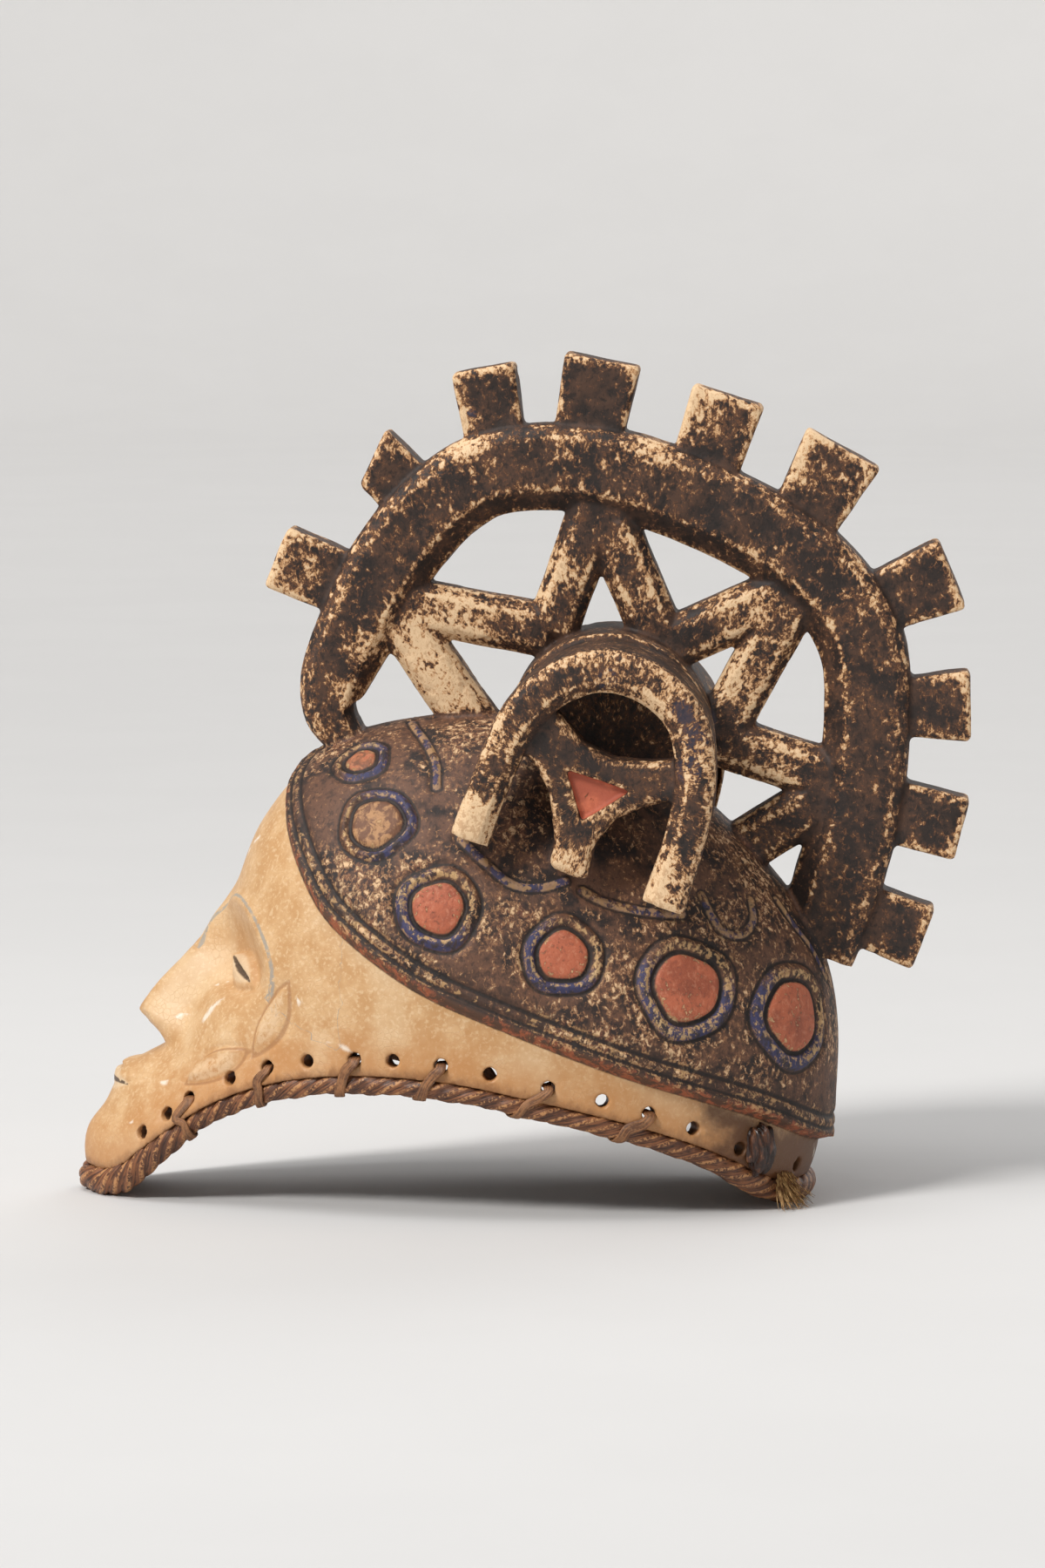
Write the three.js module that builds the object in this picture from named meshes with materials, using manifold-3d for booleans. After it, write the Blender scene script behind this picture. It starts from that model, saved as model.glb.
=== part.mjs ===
import * as THREE from 'three';
import Module from 'manifold-3d';
import { mergeVertices } from 'three/addons/utils/BufferGeometryUtils.js';

// A carved wooden helmet mask with an openwork crest, standing on its bound rim.
// Millimetres, +z up, the floor at z = 0. The face looks towards -x, and y = 0 is the
// plane of symmetry. The head is drawn about a centre inside it, and moved at the end.

const wasm = await Module();
wasm.setup();

// The head's skin, measured from its centre: degrees run in the plane of symmetry from the
// nape (0) over the crown (90) to the face (180), and a radius belongs to each.
const HEAD_X = -10;
const HEAD_Z = 50;
const HEAD_HALF_WIDTH = 84;
const HEAD_OUTLINE = [
  [-50, 108], [-19, 136], [0, 137.5], [20, 142], [40, 140.5], [60, 143.5], [80, 148.5],
  [100, 150], [118, 152.5], [132, 145], [144, 134.5], [159, 126.5], [172, 133], [181, 149],
  [189, 170], [196, 174], [208, 150], [240, 108], [275, 92],
];
const HEAD_FULLNESS = [
  [0, 2.2], [60, 2.2], [110, 2.2], [150, 2.15], [180, 1.85], [192, 1.7], [205, 1.8], [270, 2.1],
];
const WALL = [[0, 11], [90, 12], [130, 13], [155, 20], [172, 18], [192, 14], [210, 12], [270, 11]];
const SIDE_WALL = 10;
// The hollow's facets are set out by this, so that on average they lie on its true surface.
const FACET_SWELL = 1;

// The coiffure stands proud of the face, more so at the back.
const CAP_RISE = [[-20, 5.5], [0, 5.5], [30, 4.5], [60, 3], [120, 3], [200, 3], [270, 3]];
const CAP_EDGE = [
  [-84.5, 187.5], [-91.9, 176.5], [-94.9, 170.5], [-94.7, 160.9], [-91.3, 149.6], [-85.3, 136.7],
  [-77.5, 124.4], [-65.2, 112.9], [-37.9, 94.7], [5.1, 76.1], [44.6, 60.5], [84.7, 46.4],
  [103.9, 38.4], [127, 24.5],
];

// The rim is an arch: it stands at the chin and the nape and springs clear between them.
const RIM_ARCH = [
  [-230, 20], [-192, 14], [-182, 11.6], [-173, 10.7], [-165, 14.2], [-157, 21], [-147, 29],
  [-128, 42], [-105, 52], [-80, 57.5], [-50, 59], [-20, 56.5], [10, 50], [40, 42.5], [70, 32.5],
  [90, 23], [103, 14.5], [112, 10.6], [122, 10], [140, 10], [200, 10],
];
const RIM_MIDDLE_X = -28;

// The face is carved on a plane that leans back: places are up it from the chin, and across.
const FACE_FOOT = [-172, 5];
const FACE_LEAN = 62;
const FACE_ROWS = [
  -4, 7, 19, 30, 40, 50, 58, 64, 69, 75, 84, 93, 101, 107, 114, 121, 130, 141, 154, 168, 182, 197,
];
const SOCKET = { up: 112, across: 29, tall: 16, wide: 21, deep: 13 };
const EYE = { up: 109, across: 28, halfLength: 15, halfHeight: 6.5, slit: 1.3, raise: 4, turn: -4 };
const NOSE = { tip: 73, foot: 65, bridge: 124, height: 20, halfWidth: 6, wing: 8, wingAcross: 11 };
const MUZZLE = { up: 45, tall: 15, wide: 25, out: 7 };
const MOUTH = { up: 44, halfLength: 17, halfHeight: 7, slit: 1.1, raise: 3.4 };
const CHEEK = { up: 84, across: 40, tall: 26, wide: 18, out: 4 };
const CHIN_BOSS = { up: 15, radius: 20, out: 5 };
const SCARS = [
  { up: 70, across: 46, halfLength: 15, halfHeight: 4.2, turn: 62, raise: 2 },
  { up: 100, across: 58, halfLength: 17, halfHeight: 3, turn: 82, raise: 1.6 },
];
const LENS_SIDES = 12;
const SCAR_SIDES = 8;
const CARVED_FOOT = 3;

// Round relief on each side of the cap: place, radius of the band and of the disc inside it.
const RELIEF_CIRCLES = [
  { x: -63, z: 182.5, band: 12.5, disc: 6 },
  { x: -55, z: 159, band: 16.5, disc: 10 },
  { x: -29, z: 126.5, band: 17.5, disc: 10 },
  { x: 21, z: 108, band: 16.5, disc: 9.5 },
  { x: 69, z: 94, band: 21, disc: 13 },
  { x: 111, z: 80, band: 22, disc: 13.5 },
];
const RELIEF_HEIGHT = 1.8;
const RELIEF_GROOVE = 2.5;
const RELIEF_FOOT = 2.5;
const BAND_SIDES = 10;
const DISC_SIDES = 8;

// The crest is a bevelled hoop in the plane of symmetry: outer edge and breadth of its band.
const CREST_EDGE = [
  [-74, 182, 14], [-88, 197, 24], [-91, 216, 29], [-83, 244, 34], [-58.4, 288, 36],
  [-22.5, 316.7, 35], [26, 322.5, 36], [78, 308.5, 36.5], [131.8, 278, 36], [159.5, 237.6, 36],
  [161, 173, 36], [150.7, 127.3, 37], [139, 97, 35],
];
const CREST_HALF_THICKNESS = 16;
const CREST_OUTER_BEVEL = [4.5, 5.5];
const CREST_INNER_BEVEL = [9, 7];
const CREST_STEPS = 30;
const CREST_CENTRE = [37, 178.5];

// Pegs on the hoop: where they stand, how they lean from the hoop's normal, their reach,
// their breadth at tip and foot, and how far a broken tip slants.
const PEGS = [
  { at: 145.4, lean: 3, reach: 26, tip: 27, foot: 26, slant: 0 },
  { at: 126, lean: 0, reach: 16, tip: 24.5, foot: 25, slant: -9 },
  { at: 108.7, lean: -3, reach: 26, tip: 26.5, foot: 24.5, slant: 0 },
  { at: 93, lean: -5, reach: 28, tip: 32, foot: 28, slant: 0 },
  { at: 72.4, lean: 4, reach: 28, tip: 31, foot: 28, slant: 0 },
  { at: 52.5, lean: 5, reach: 30, tip: 35, foot: 27, slant: 0 },
  { at: 31.7, lean: -6, reach: 28, tip: 31, foot: 24.5, slant: 0 },
  { at: 12.2, lean: 2, reach: 24.5, tip: 29.5, foot: 23, slant: 0 },
  { at: -8.1, lean: -4, reach: 26, tip: 26.5, foot: 26.5, slant: 0 },
  { at: -29, lean: 0, reach: 23, tip: 27.5, foot: 25.5, slant: 0 },
];
const PEG_HALF_THICKNESS = 10.5;
const PEG_CHAMFER = 3;

// The star inside the hoop is one zigzag bar, from the cap at the front to the cap behind.
const STAR = [
  [-14, 190], [-54.4, 248.6], [13.4, 236.3], [33.3, 292.2], [59.6, 229.5], [116.7, 255.3],
  [81.8, 191.5], [137.3, 173.7], [72, 133],
];
const STAR_BREADTH = 22;
const STAR_BAND = 13;
const STAR_HALF_THICKNESS = 12.5;

// A drum on the crest's foot carries a hanging loop on each side, with a forked bracket in it.
const DRUM = { x: 38, z: 195, radius: 43, halfLength: 38, bevel: 3.5 };
const LOOP = [
  [-16.3, 157.5, 16, 72], [-6.5, 184, 16, 69], [5, 208, 17, 50], [20, 221.5, 17.5, 34],
  [38, 226.8, 18, 30], [57, 221.5, 17.5, 34], [71.5, 207.5, 17, 50], [76, 184, 16.5, 66],
  [72, 160, 17, 70], [62.5, 130.5, 18, 71],
];
const LOOP_FRONT = 90;
const LOOP_CHAMFER = 4.5;
const FAR_LOOP_DROP = 4;
const BRACKET = [
  [-1, 199], [12, 214], [21, 208], [29.5, 197.5], [42, 190.7], [76, 190.9], [73, 174.5],
  [55, 171], [43.5, 166], [35, 155.7], [31.5, 140.5], [16, 146.5], [17.7, 165], [16, 177],
];
const BRACKET_FRONT = 84;
const BRACKET_BACK = 62;
const BRACKET_RECESS = [[23, 186.5], [49, 177.5], [29.5, 165.5]];
const RECESS_DEPTH = 4;

// The rim is bound with a thick roll, laced on through a row of holes.
const ROLL_GAP = 0.5;
const ROLL_STEPS = 56;
const ROLL_SIDES = 8;
const HOLE_RADIUS = 2.9;
const HOLE_SIDES = 6;
const HOLES = [-156, -145, -135, -117, -101, -84, -64, -48, -28, -8, 16, 38, 57, 75, 94, 117];
const LACED_HOLES = [1, 13];
const HOLE_ABOVE_RIM = 7;

// The lace is one strip: a stitch over the roll at every second hole, and a run along the
// inside between stitches. It ends at the knot, on the near side, and in frayed fibres.
const LACE_RADIUS = 1;
const LACE_CLEAR = 2.1;
const LACE_CLEAR_INSIDE = 6.2;
const KNOT = { x: 101, z: 27, along: 7, up: 10.5, out: 7 };
const TUFT = { angle: -14, radius: 3 };

// Maths on a closed list of [degrees, value]: a smooth curve through all of them.
function aroundCurve(knots) {
  const count = knots.length;
  const knot = (i) => {
    const turn = Math.floor(i / count);
    const [angle, value] = knots[i - turn * count];
    return [angle + 360 * turn, value];
  };
  const slope = (i) => (knot(i + 1)[1] - knot(i - 1)[1]) / (knot(i + 1)[0] - knot(i - 1)[0]);
  return (degrees) => {
    const angle = THREE.MathUtils.euclideanModulo(degrees - knots[0][0], 360) + knots[0][0];
    let i = 0;
    while (knot(i + 1)[0] <= angle) i += 1;
    const [from, start] = knot(i);
    const [to, end] = knot(i + 1);
    const span = to - from;
    const s = (angle - from) / span;
    return (2 * s ** 3 - 3 * s ** 2 + 1) * start + (s ** 3 - 2 * s ** 2 + s) * span * slope(i)
      + (3 * s ** 2 - 2 * s ** 3) * end + (s ** 3 - s ** 2) * span * slope(i + 1);
  };
}

// A smooth open curve through points [x, z, ...], sampled evenly along its length.
function alongCurve(points, steps) {
  const places = points.map(([x, z]) => new THREE.Vector3(x, 0, z));
  const curve = new THREE.CatmullRomCurve3(places, false, 'centripetal');
  curve.arcLengthDivisions = 400;
  const samples = [];
  for (let i = 0; i <= steps; i += 1) {
    const t = curve.getUtoTmapping(i / steps);
    const place = curve.getPoint(t);
    const tangent = curve.getTangent(t);
    const reach = t * (points.length - 1);
    const k = Math.min(Math.floor(reach), points.length - 2);
    const mix = (column) => THREE.MathUtils.lerp(points[k][column], points[k + 1][column], reach - k);
    samples.push({ x: place.x, z: place.z, nx: -tangent.z, nz: tangent.x, mix });
  }
  return samples;
}

const bump = (distance) => Math.exp(-distance * distance);
const smooth = (from, to, value) => {
  const share = THREE.MathUtils.clamp((value - from) / (to - from), 0, 1);
  return share * share * (3 - 2 * share);
};
const radians = THREE.MathUtils.degToRad;

const outline = aroundCurve(HEAD_OUTLINE);
const fullness = aroundCurve(HEAD_FULLNESS);
const wall = aroundCurve(WALL);
const rise = aroundCurve(CAP_RISE);

// A point of the head's skin, set out by "out" mm along and across the plane of symmetry.
function skin(along, across, out = () => 0, sideOut = out(90)) {
  const n = fullness(along);
  const reach = outline(along) + out(along);
  const width = HEAD_HALF_WIDTH + sideOut;
  const c = Math.cos(radians(across));
  const s = Math.sin(radians(across));
  const r = ((c / reach) ** n + (Math.abs(s) / width) ** n) ** (-1 / n);
  const x = HEAD_X + r * c * Math.cos(radians(along));
  const z = HEAD_Z + r * c * Math.sin(radians(along));
  return new THREE.Vector3(x, r * s, z);
}

// How far the skin stands from the plane of symmetry at a place of that plane.
function halfWidthAt(x, z, out = 0) {
  const along = THREE.MathUtils.radToDeg(Math.atan2(z - HEAD_Z, x - HEAD_X));
  const share = Math.hypot(x - HEAD_X, z - HEAD_Z) / (outline(along) + out);
  const n = fullness(along);
  return (HEAD_HALF_WIDTH + out) * Math.max(0, 1 - share ** n) ** (1 / n);
}

const faceFoot = new THREE.Vector3(FACE_FOOT[0], 0, FACE_FOOT[1]);
const faceUp = new THREE.Vector3(Math.cos(radians(FACE_LEAN)), 0, Math.sin(radians(FACE_LEAN)));
const faceOut = new THREE.Vector3(-faceUp.z, 0, faceUp.x);
const upTheFace = (place) => place.clone().sub(faceFoot).dot(faceUp);

// How far the carving of the face stands off the head's skin, the same on both sides.
function faceRelief(up, across) {
  const v = Math.abs(across);
  const hill = (u, w, tall, wide, power = 1) => bump(Math.hypot((up - u) / tall, (v - w) / wide) ** power);
  const climb = smooth(NOSE.bridge + 8, NOSE.tip, up);
  const ridge = NOSE.height * (0.2 + 0.8 * climb)
    * smooth(NOSE.foot - 4, NOSE.foot + 5, up) * smooth(NOSE.bridge + 16, NOSE.bridge - 6, up);
  return ridge * bump((v / (NOSE.halfWidth * (1 + 0.75 * climb))) ** 1.3)
    + NOSE.wing * hill(NOSE.foot + 5, NOSE.wingAcross, 6, 5)
    - SOCKET.deep * hill(SOCKET.up, SOCKET.across, SOCKET.tall, SOCKET.wide, 1.6)
    + MUZZLE.out * hill(MUZZLE.up, 0, MUZZLE.tall, MUZZLE.wide, 1.5)
    + CHEEK.out * hill(CHEEK.up, CHEEK.across, CHEEK.tall, CHEEK.wide)
    + CHIN_BOSS.out * hill(CHIN_BOSS.up, 0, CHIN_BOSS.radius, CHIN_BOSS.radius);
}

function carvedSkin(along, across) {
  const place = skin(along, across);
  const share = smooth(112, 120, along) * smooth(215, 207, along);
  return place.addScaledVector(faceOut, share * faceRelief(upTheFace(place), place.y));
}

// The place on the carved face that is this far up it and across it.
function onFace(up, across, raise) {
  const foot = faceFoot.clone().addScaledVector(faceUp, up).setY(across);
  const within = (reach) => {
    const spot = foot.clone().addScaledVector(faceOut, reach);
    return halfWidthAt(spot.x, spot.z) > Math.abs(across);
  };
  let low = -40;
  let high = 90;
  for (let i = 0; i < 30; i += 1) {
    const middle = (low + high) / 2;
    if (within(middle)) low = middle;
    else high = middle;
  }
  return foot.addScaledVector(faceOut, low + faceRelief(up, across) + raise);
}

// Angles in the plane of symmetry at which the skin has climbed this far up the face.
function faceAngle(up) {
  let low = 112;
  let high = 215;
  for (let i = 0; i < 30; i += 1) {
    const middle = (low + high) / 2;
    if (upTheFace(skin(middle, 0)) > up) low = middle;
    else high = middle;
  }
  return low;
}

// Solids from rows of points.
function geometryOf(points, triangles) {
  const geometry = new THREE.BufferGeometry();
  geometry.setAttribute('position', new THREE.Float32BufferAttribute(points.flatMap((p) => [p.x, p.y, p.z]), 3));
  geometry.setIndex(triangles.flat());
  return geometry;
}

function volumeOf(points, triangles) {
  let volume = 0;
  for (const [a, b, c] of triangles) {
    volume += points[a].dot(new THREE.Vector3().crossVectors(points[b], points[c]));
  }
  return volume;
}

function solidFrom(points, triangles) {
  const outward = volumeOf(points, triangles) > 0;
  const faces = outward ? triangles : triangles.map(([a, b, c]) => [a, c, b]);
  return solid(geometryOf(points, faces));
}

function solid(geometry) {
  const bare = geometry.clone();
  bare.deleteAttribute('normal');
  bare.deleteAttribute('uv');
  const merged = mergeVertices(bare, 1e-4);
  const vertProperties = Float32Array.from(merged.attributes.position.array);
  const triVerts = Uint32Array.from(merged.index.array);
  return new wasm.Manifold(new wasm.Mesh({ numProp: 3, vertProperties, triVerts }));
}

function joined(solids) {
  return solids.reduce((all, next) => all.add(next));
}

// A closed ball of rows around the head, from one side's pole to the other's.
function ball(alongSteps, acrossSteps, pointAt) {
  const points = [pointAt(0, -90)];
  for (const across of acrossSteps) {
    for (const along of alongSteps) points.push(pointAt(along, across));
  }
  points.push(pointAt(0, 90));
  const rows = acrossSteps.length;
  const columns = alongSteps.length;
  const at = (row, column) => 1 + row * columns + (column % columns);
  const triangles = [];
  for (let column = 0; column < columns; column += 1) {
    triangles.push([0, at(0, column), at(0, column + 1)]);
    triangles.push([points.length - 1, at(rows - 1, column + 1), at(rows - 1, column)]);
    for (let row = 0; row + 1 < rows; row += 1) {
      const corners = [at(row, column), at(row + 1, column), at(row + 1, column + 1), at(row, column + 1)];
      triangles.push(...twoTriangles(corners, row >= (rows - 1) / 2));
    }
  }
  return solidFrom(points, triangles);
}

// Four corners as two triangles, split one way or the other, so that both sides are alike.
function twoTriangles([a, b, c, d], turned) {
  return turned ? [[a, b, d], [b, c, d]] : [[a, b, c], [a, c, d]];
}

// Skin over a run of outlines, closed by a fan at each end, or on itself.
function loft(rings, closed = false) {
  const sides = rings[0].length;
  const points = rings.flat();
  const at = (ring, side) => (ring % rings.length) * sides + (side % sides);
  const triangles = [];
  const spans = closed ? rings.length : rings.length - 1;
  for (let ring = 0; ring < spans; ring += 1) {
    for (let side = 0; side < sides; side += 1) {
      triangles.push([at(ring, side), at(ring, side + 1), at(ring + 1, side + 1)]);
      triangles.push([at(ring, side), at(ring + 1, side + 1), at(ring + 1, side)]);
    }
  }
  if (!closed) {
    for (let side = 1; side + 1 < sides; side += 1) {
      triangles.push([at(0, 0), at(0, side + 1), at(0, side)]);
      triangles.push([at(rings.length - 1, 0), at(rings.length - 1, side), at(rings.length - 1, side + 1)]);
    }
  }
  return solidFrom(points, triangles);
}

// A flat outline [x, z] given thickness along y.
function plate(outlinePoints, front, back) {
  const shape = new THREE.Shape(outlinePoints.map(([x, z]) => new THREE.Vector2(x, z)));
  const geometry = new THREE.ExtrudeGeometry(shape, { depth: back - front, bevelEnabled: false });
  geometry.rotateX(Math.PI / 2);
  geometry.translate(0, back, 0);
  return solid(geometry);
}

function range(from, to, steps) {
  return Array.from({ length: steps }, (_, i) => from + ((to - from) * i) / steps);
}

// Helmet: outer skin with the face, the cap over it, the hollow and the arch of the rim.
function helmetSkin() {
  const along = [...range(-30, 112, 10), ...FACE_ROWS.map(faceAngle).reverse(), ...range(215, 330, 4)];
  const half = [2, 4.6, 7.6, 11, 15, 20.5, 29, 41, 56, 74];
  const across = [...half.map((step) => -step).reverse(), 0, ...half];
  return ball(along, across, carvedSkin);
}

function capSkin(extra = 0) {
  const out = (along) => rise(along) + extra;
  const half = capEdge(18);
  const crown = new THREE.Vector3(HEAD_X + 6, 0, HEAD_Z + 100);
  const loop = [...half, ...half.slice(1, -1).reverse().map((p) => new THREE.Vector3(p.x, -p.y, p.z))];
  const centre = new THREE.Vector3(HEAD_X, 0, HEAD_Z);
  const rays = loop.map((p) => p.clone().sub(centre).normalize());
  const top = crown.clone().sub(centre).normalize();
  const shares = [0, 0.15, 0.32, 0.5, 0.72];
  const points = [centre.clone()];
  for (const share of shares) {
    for (const ray of rays) points.push(skinAlong(ray.clone().lerp(top, share).normalize(), out));
  }
  points.push(skinAlong(top, out));
  const columns = rays.length;
  const at = (row, column) => 1 + row * columns + (column % columns);
  const last = points.length - 1;
  const triangles = [];
  for (let column = 0; column < columns; column += 1) {
    triangles.push([0, at(0, column + 1), at(0, column)]);
    for (let row = 0; row + 1 < shares.length; row += 1) {
      const corners = [at(row, column), at(row, column + 1), at(row + 1, column + 1), at(row + 1, column)];
      triangles.push(...twoTriangles(corners, column >= half.length - 1));
    }
    triangles.push([at(shares.length - 1, column), at(shares.length - 1, column + 1), last]);
  }
  return solidFrom(points, triangles);
}

function skinAlong(ray, out) {
  const along = THREE.MathUtils.radToDeg(Math.atan2(ray.z, ray.x));
  const across = THREE.MathUtils.radToDeg(Math.asin(THREE.MathUtils.clamp(ray.y, -1, 1)));
  return skin(along, across, out);
}

// The cap's edge on the near side, from the middle of the forehead round to the nape.
function capEdge(steps) {
  const dense = alongCurve(CAP_EDGE, 600);
  const line = dense.map(({ x, z }) => new THREE.Vector3(x, -halfWidthAt(x, z), z));
  line[0].y = 0;
  line[line.length - 1].y = 0;
  const run = [0];
  for (let i = 1; i < line.length; i += 1) run.push(run[i - 1] + line[i].distanceTo(line[i - 1]));
  const whole = run[run.length - 1];
  const picked = [];
  let k = 0;
  for (let i = 0; i <= steps; i += 1) {
    while (k + 2 < run.length && run[k + 1] < (whole * i) / steps) k += 1;
    const share = ((whole * i) / steps - run[k]) / (run[k + 1] - run[k]);
    picked.push(line[k].clone().lerp(line[k + 1], share));
  }
  return picked;
}

function hollow() {
  const out = (along) => FACET_SWELL - wall(along);
  return ball(range(-30, 330, 22), [-68, -48, -32, -16, 0, 16, 32, 48, 68],
    (along, across) => skin(along, across, out, FACET_SWELL - SIDE_WALL));
}

function belowRim() {
  const arch = alongCurve(RIM_ARCH, 40).map(({ x, z }) => [x, z]);
  return plate([[-230, -220], [200, -220], ...arch.reverse()], -120, 120);
}

// Relief circles: a band and a disc that follow the skin, each a ring of corners with
// its foot sunk into the cap.
function reliefCircles() {
  const pieces = [];
  for (const { x, z, band, disc } of RELIEF_CIRCLES) {
    for (const side of [-1, 1]) {
      const outward = capNormal(x, z, side);
      const place = new THREE.Vector3(x, side * halfWidthAt(x, z, rise(0)), z);
      const level = new THREE.Vector3(0, 0, 1).cross(outward).normalize();
      const upward = outward.clone().cross(level);
      const corners = (radius, sides, height) => Array.from({ length: sides }, (_, i) => {
        const turn = (i / sides) * 2 * Math.PI;
        const spot = place.clone()
          .addScaledVector(level, radius * Math.cos(turn))
          .addScaledVector(upward, radius * Math.sin(turn));
        return onCap(spot, height);
      });
      const groove = disc + RELIEF_GROOVE;
      pieces.push(loft([
        corners(band, BAND_SIDES, -RELIEF_FOOT), corners(band - 0.8, BAND_SIDES, RELIEF_HEIGHT),
        corners(groove + 0.8, BAND_SIDES, RELIEF_HEIGHT), corners(groove, BAND_SIDES, -RELIEF_FOOT),
      ], true));
      pieces.push(loft([
        corners(disc, DISC_SIDES, -RELIEF_FOOT), corners(disc - 0.8, DISC_SIDES, RELIEF_HEIGHT),
      ]));
    }
  }
  return pieces;
}

function onCap(spot, height) {
  const ray = spot.clone().sub(new THREE.Vector3(HEAD_X, 0, HEAD_Z)).normalize();
  return skinAlong(ray, (along) => rise(along) + height);
}

function capNormal(x, z, side) {
  const step = 4;
  const width = (a, b) => halfWidthAt(a, b, 3);
  const slopeX = (width(x + step, z) - width(x - step, z)) / (2 * step);
  const slopeZ = (width(x, z + step) - width(x, z - step)) / (2 * step);
  return new THREE.Vector3(-slopeX, side, -slopeZ).normalize();
}

// Pointed ovals of the face, raised from it: lids and lips with a slit, and the leaf scars.
function oval({ up, across = 0, turn = 0 }, side, halfLength, halfHeight, raise, sides) {
  const c = Math.cos(radians(turn));
  const s = Math.sin(radians(turn));
  return Array.from({ length: sides }, (_, i) => {
    const angle = (i / sides) * 2 * Math.PI;
    const length = halfLength * Math.cos(angle);
    const height = halfHeight * Math.sin(angle) * Math.abs(Math.sin(angle)) ** 0.3;
    return onFace(up + length * s + height * c, side * (across + length * c - height * s), raise);
  });
}

function slitOval(form, side) {
  const { halfLength, halfHeight, slit, raise } = form;
  const ring = (shrink, height) => oval(form, side, halfLength - shrink, halfHeight - shrink, height, LENS_SIDES);
  const mouth = (height) => oval(form, side, halfLength - 3.5, slit, height, LENS_SIDES);
  return loft([ring(0, -CARVED_FOOT), ring(2, raise), mouth(raise), mouth(-CARVED_FOOT)], true);
}

function faceOvals() {
  const pieces = [slitOval(EYE, -1), slitOval(EYE, 1), slitOval(MOUTH, 1)];
  for (const scar of SCARS) {
    const { halfLength, halfHeight, raise } = scar;
    for (const side of [-1, 1]) {
      pieces.push(loft([
        oval(scar, side, halfLength, halfHeight, -CARVED_FOOT, SCAR_SIDES),
        oval(scar, side, halfLength - 2.5, halfHeight - 1.6, raise, SCAR_SIDES),
      ]));
    }
  }
  return pieces;
}

// Crest: bevelled hoop, pegs and star.
function hoop() {
  const rings = alongCurve(CREST_EDGE, CREST_STEPS).map((s) => {
    const breadth = s.mix(2);
    const [outerIn, outerDeep] = CREST_OUTER_BEVEL;
    const inner = Math.min(CREST_INNER_BEVEL[0], breadth / 4);
    const t = CREST_HALF_THICKNESS;
    const section = [
      [0, outerDeep - t], [-outerIn, -t], [inner - breadth, -t], [-breadth, CREST_INNER_BEVEL[1] - t],
      [-breadth, t - CREST_INNER_BEVEL[1]], [inner - breadth, t], [-outerIn, t], [0, t - outerDeep],
    ];
    return section.map(([r, y]) => new THREE.Vector3(s.x + r * s.nx, y, s.z + r * s.nz));
  });
  return loft(rings);
}

function crestEdgeAt(degrees) {
  const edge = alongCurve(CREST_EDGE, 300);
  const angleOf = (s) => THREE.MathUtils.radToDeg(Math.atan2(s.z - CREST_CENTRE[1], s.x - CREST_CENTRE[0]));
  return edge.reduce((best, s) => (Math.abs(angleOf(s) - degrees) < Math.abs(angleOf(best) - degrees) ? s : best));
}

// A bar with bevelled long edges: its ends, breadths and half thicknesses.
function chamferedSection(centre, acrossX, acrossZ, breadth, half, chamferIn, chamferDeep, slantX = 0, slantZ = 0) {
  const b = breadth / 2;
  const corners = [
    [-b, chamferDeep - half], [-b + chamferIn, -half], [b - chamferIn, -half], [b, chamferDeep - half],
    [b, half - chamferDeep], [b - chamferIn, half], [-b + chamferIn, half], [-b, half - chamferDeep],
  ];
  return corners.map(([side, y]) => new THREE.Vector3(
    centre[0] + side * acrossX + (side / b) * slantX, y, centre[1] + side * acrossZ + (side / b) * slantZ));
}

function peg({ at, lean, reach, tip, foot, slant }) {
  const edge = crestEdgeAt(at);
  const direction = Math.atan2(edge.nz, edge.nx) + radians(lean);
  const ux = Math.cos(direction);
  const uz = Math.sin(direction);
  const out = (d) => [edge.x + d * ux, edge.z + d * uz];
  const ring = (d, breadth, half, lift) => chamferedSection(
    out(d), -uz, ux, breadth, half, PEG_CHAMFER, PEG_CHAMFER, lift * ux, lift * uz);
  const lift = slant / 2;
  return loft([
    ring(-9, foot, PEG_HALF_THICKNESS, 0),
    ring(reach - 2, tip, PEG_HALF_THICKNESS + 2, lift),
    ring(reach, tip - 4, PEG_HALF_THICKNESS, lift),
  ]);
}

function starBars() {
  return STAR.slice(1).map(([x, z], i) => {
    const [fromX, fromZ] = STAR[i];
    const length = Math.hypot(x - fromX, z - fromZ);
    const ux = (x - fromX) / length;
    const uz = (z - fromZ) / length;
    const chamferIn = (STAR_BREADTH - STAR_BAND) / 2;
    const end = (d) => chamferedSection(
      [fromX + d * ux, fromZ + d * uz], -uz, ux, STAR_BREADTH, STAR_HALF_THICKNESS, chamferIn, 5);
    return loft([end(-3), end(length + 3)]);
  });
}

function drum() {
  const { x, z, radius, halfLength, bevel } = DRUM;
  const ring = (y, r) => Array.from({ length: 24 }, (_, i) => {
    const angle = (i / 24) * 2 * Math.PI;
    return new THREE.Vector3(x + r * Math.cos(angle), y, z + r * Math.sin(angle));
  });
  return loft([
    ring(-halfLength, radius - bevel), ring(bevel - halfLength, radius),
    ring(halfLength - bevel, radius), ring(halfLength, radius - bevel),
  ]);
}

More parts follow.
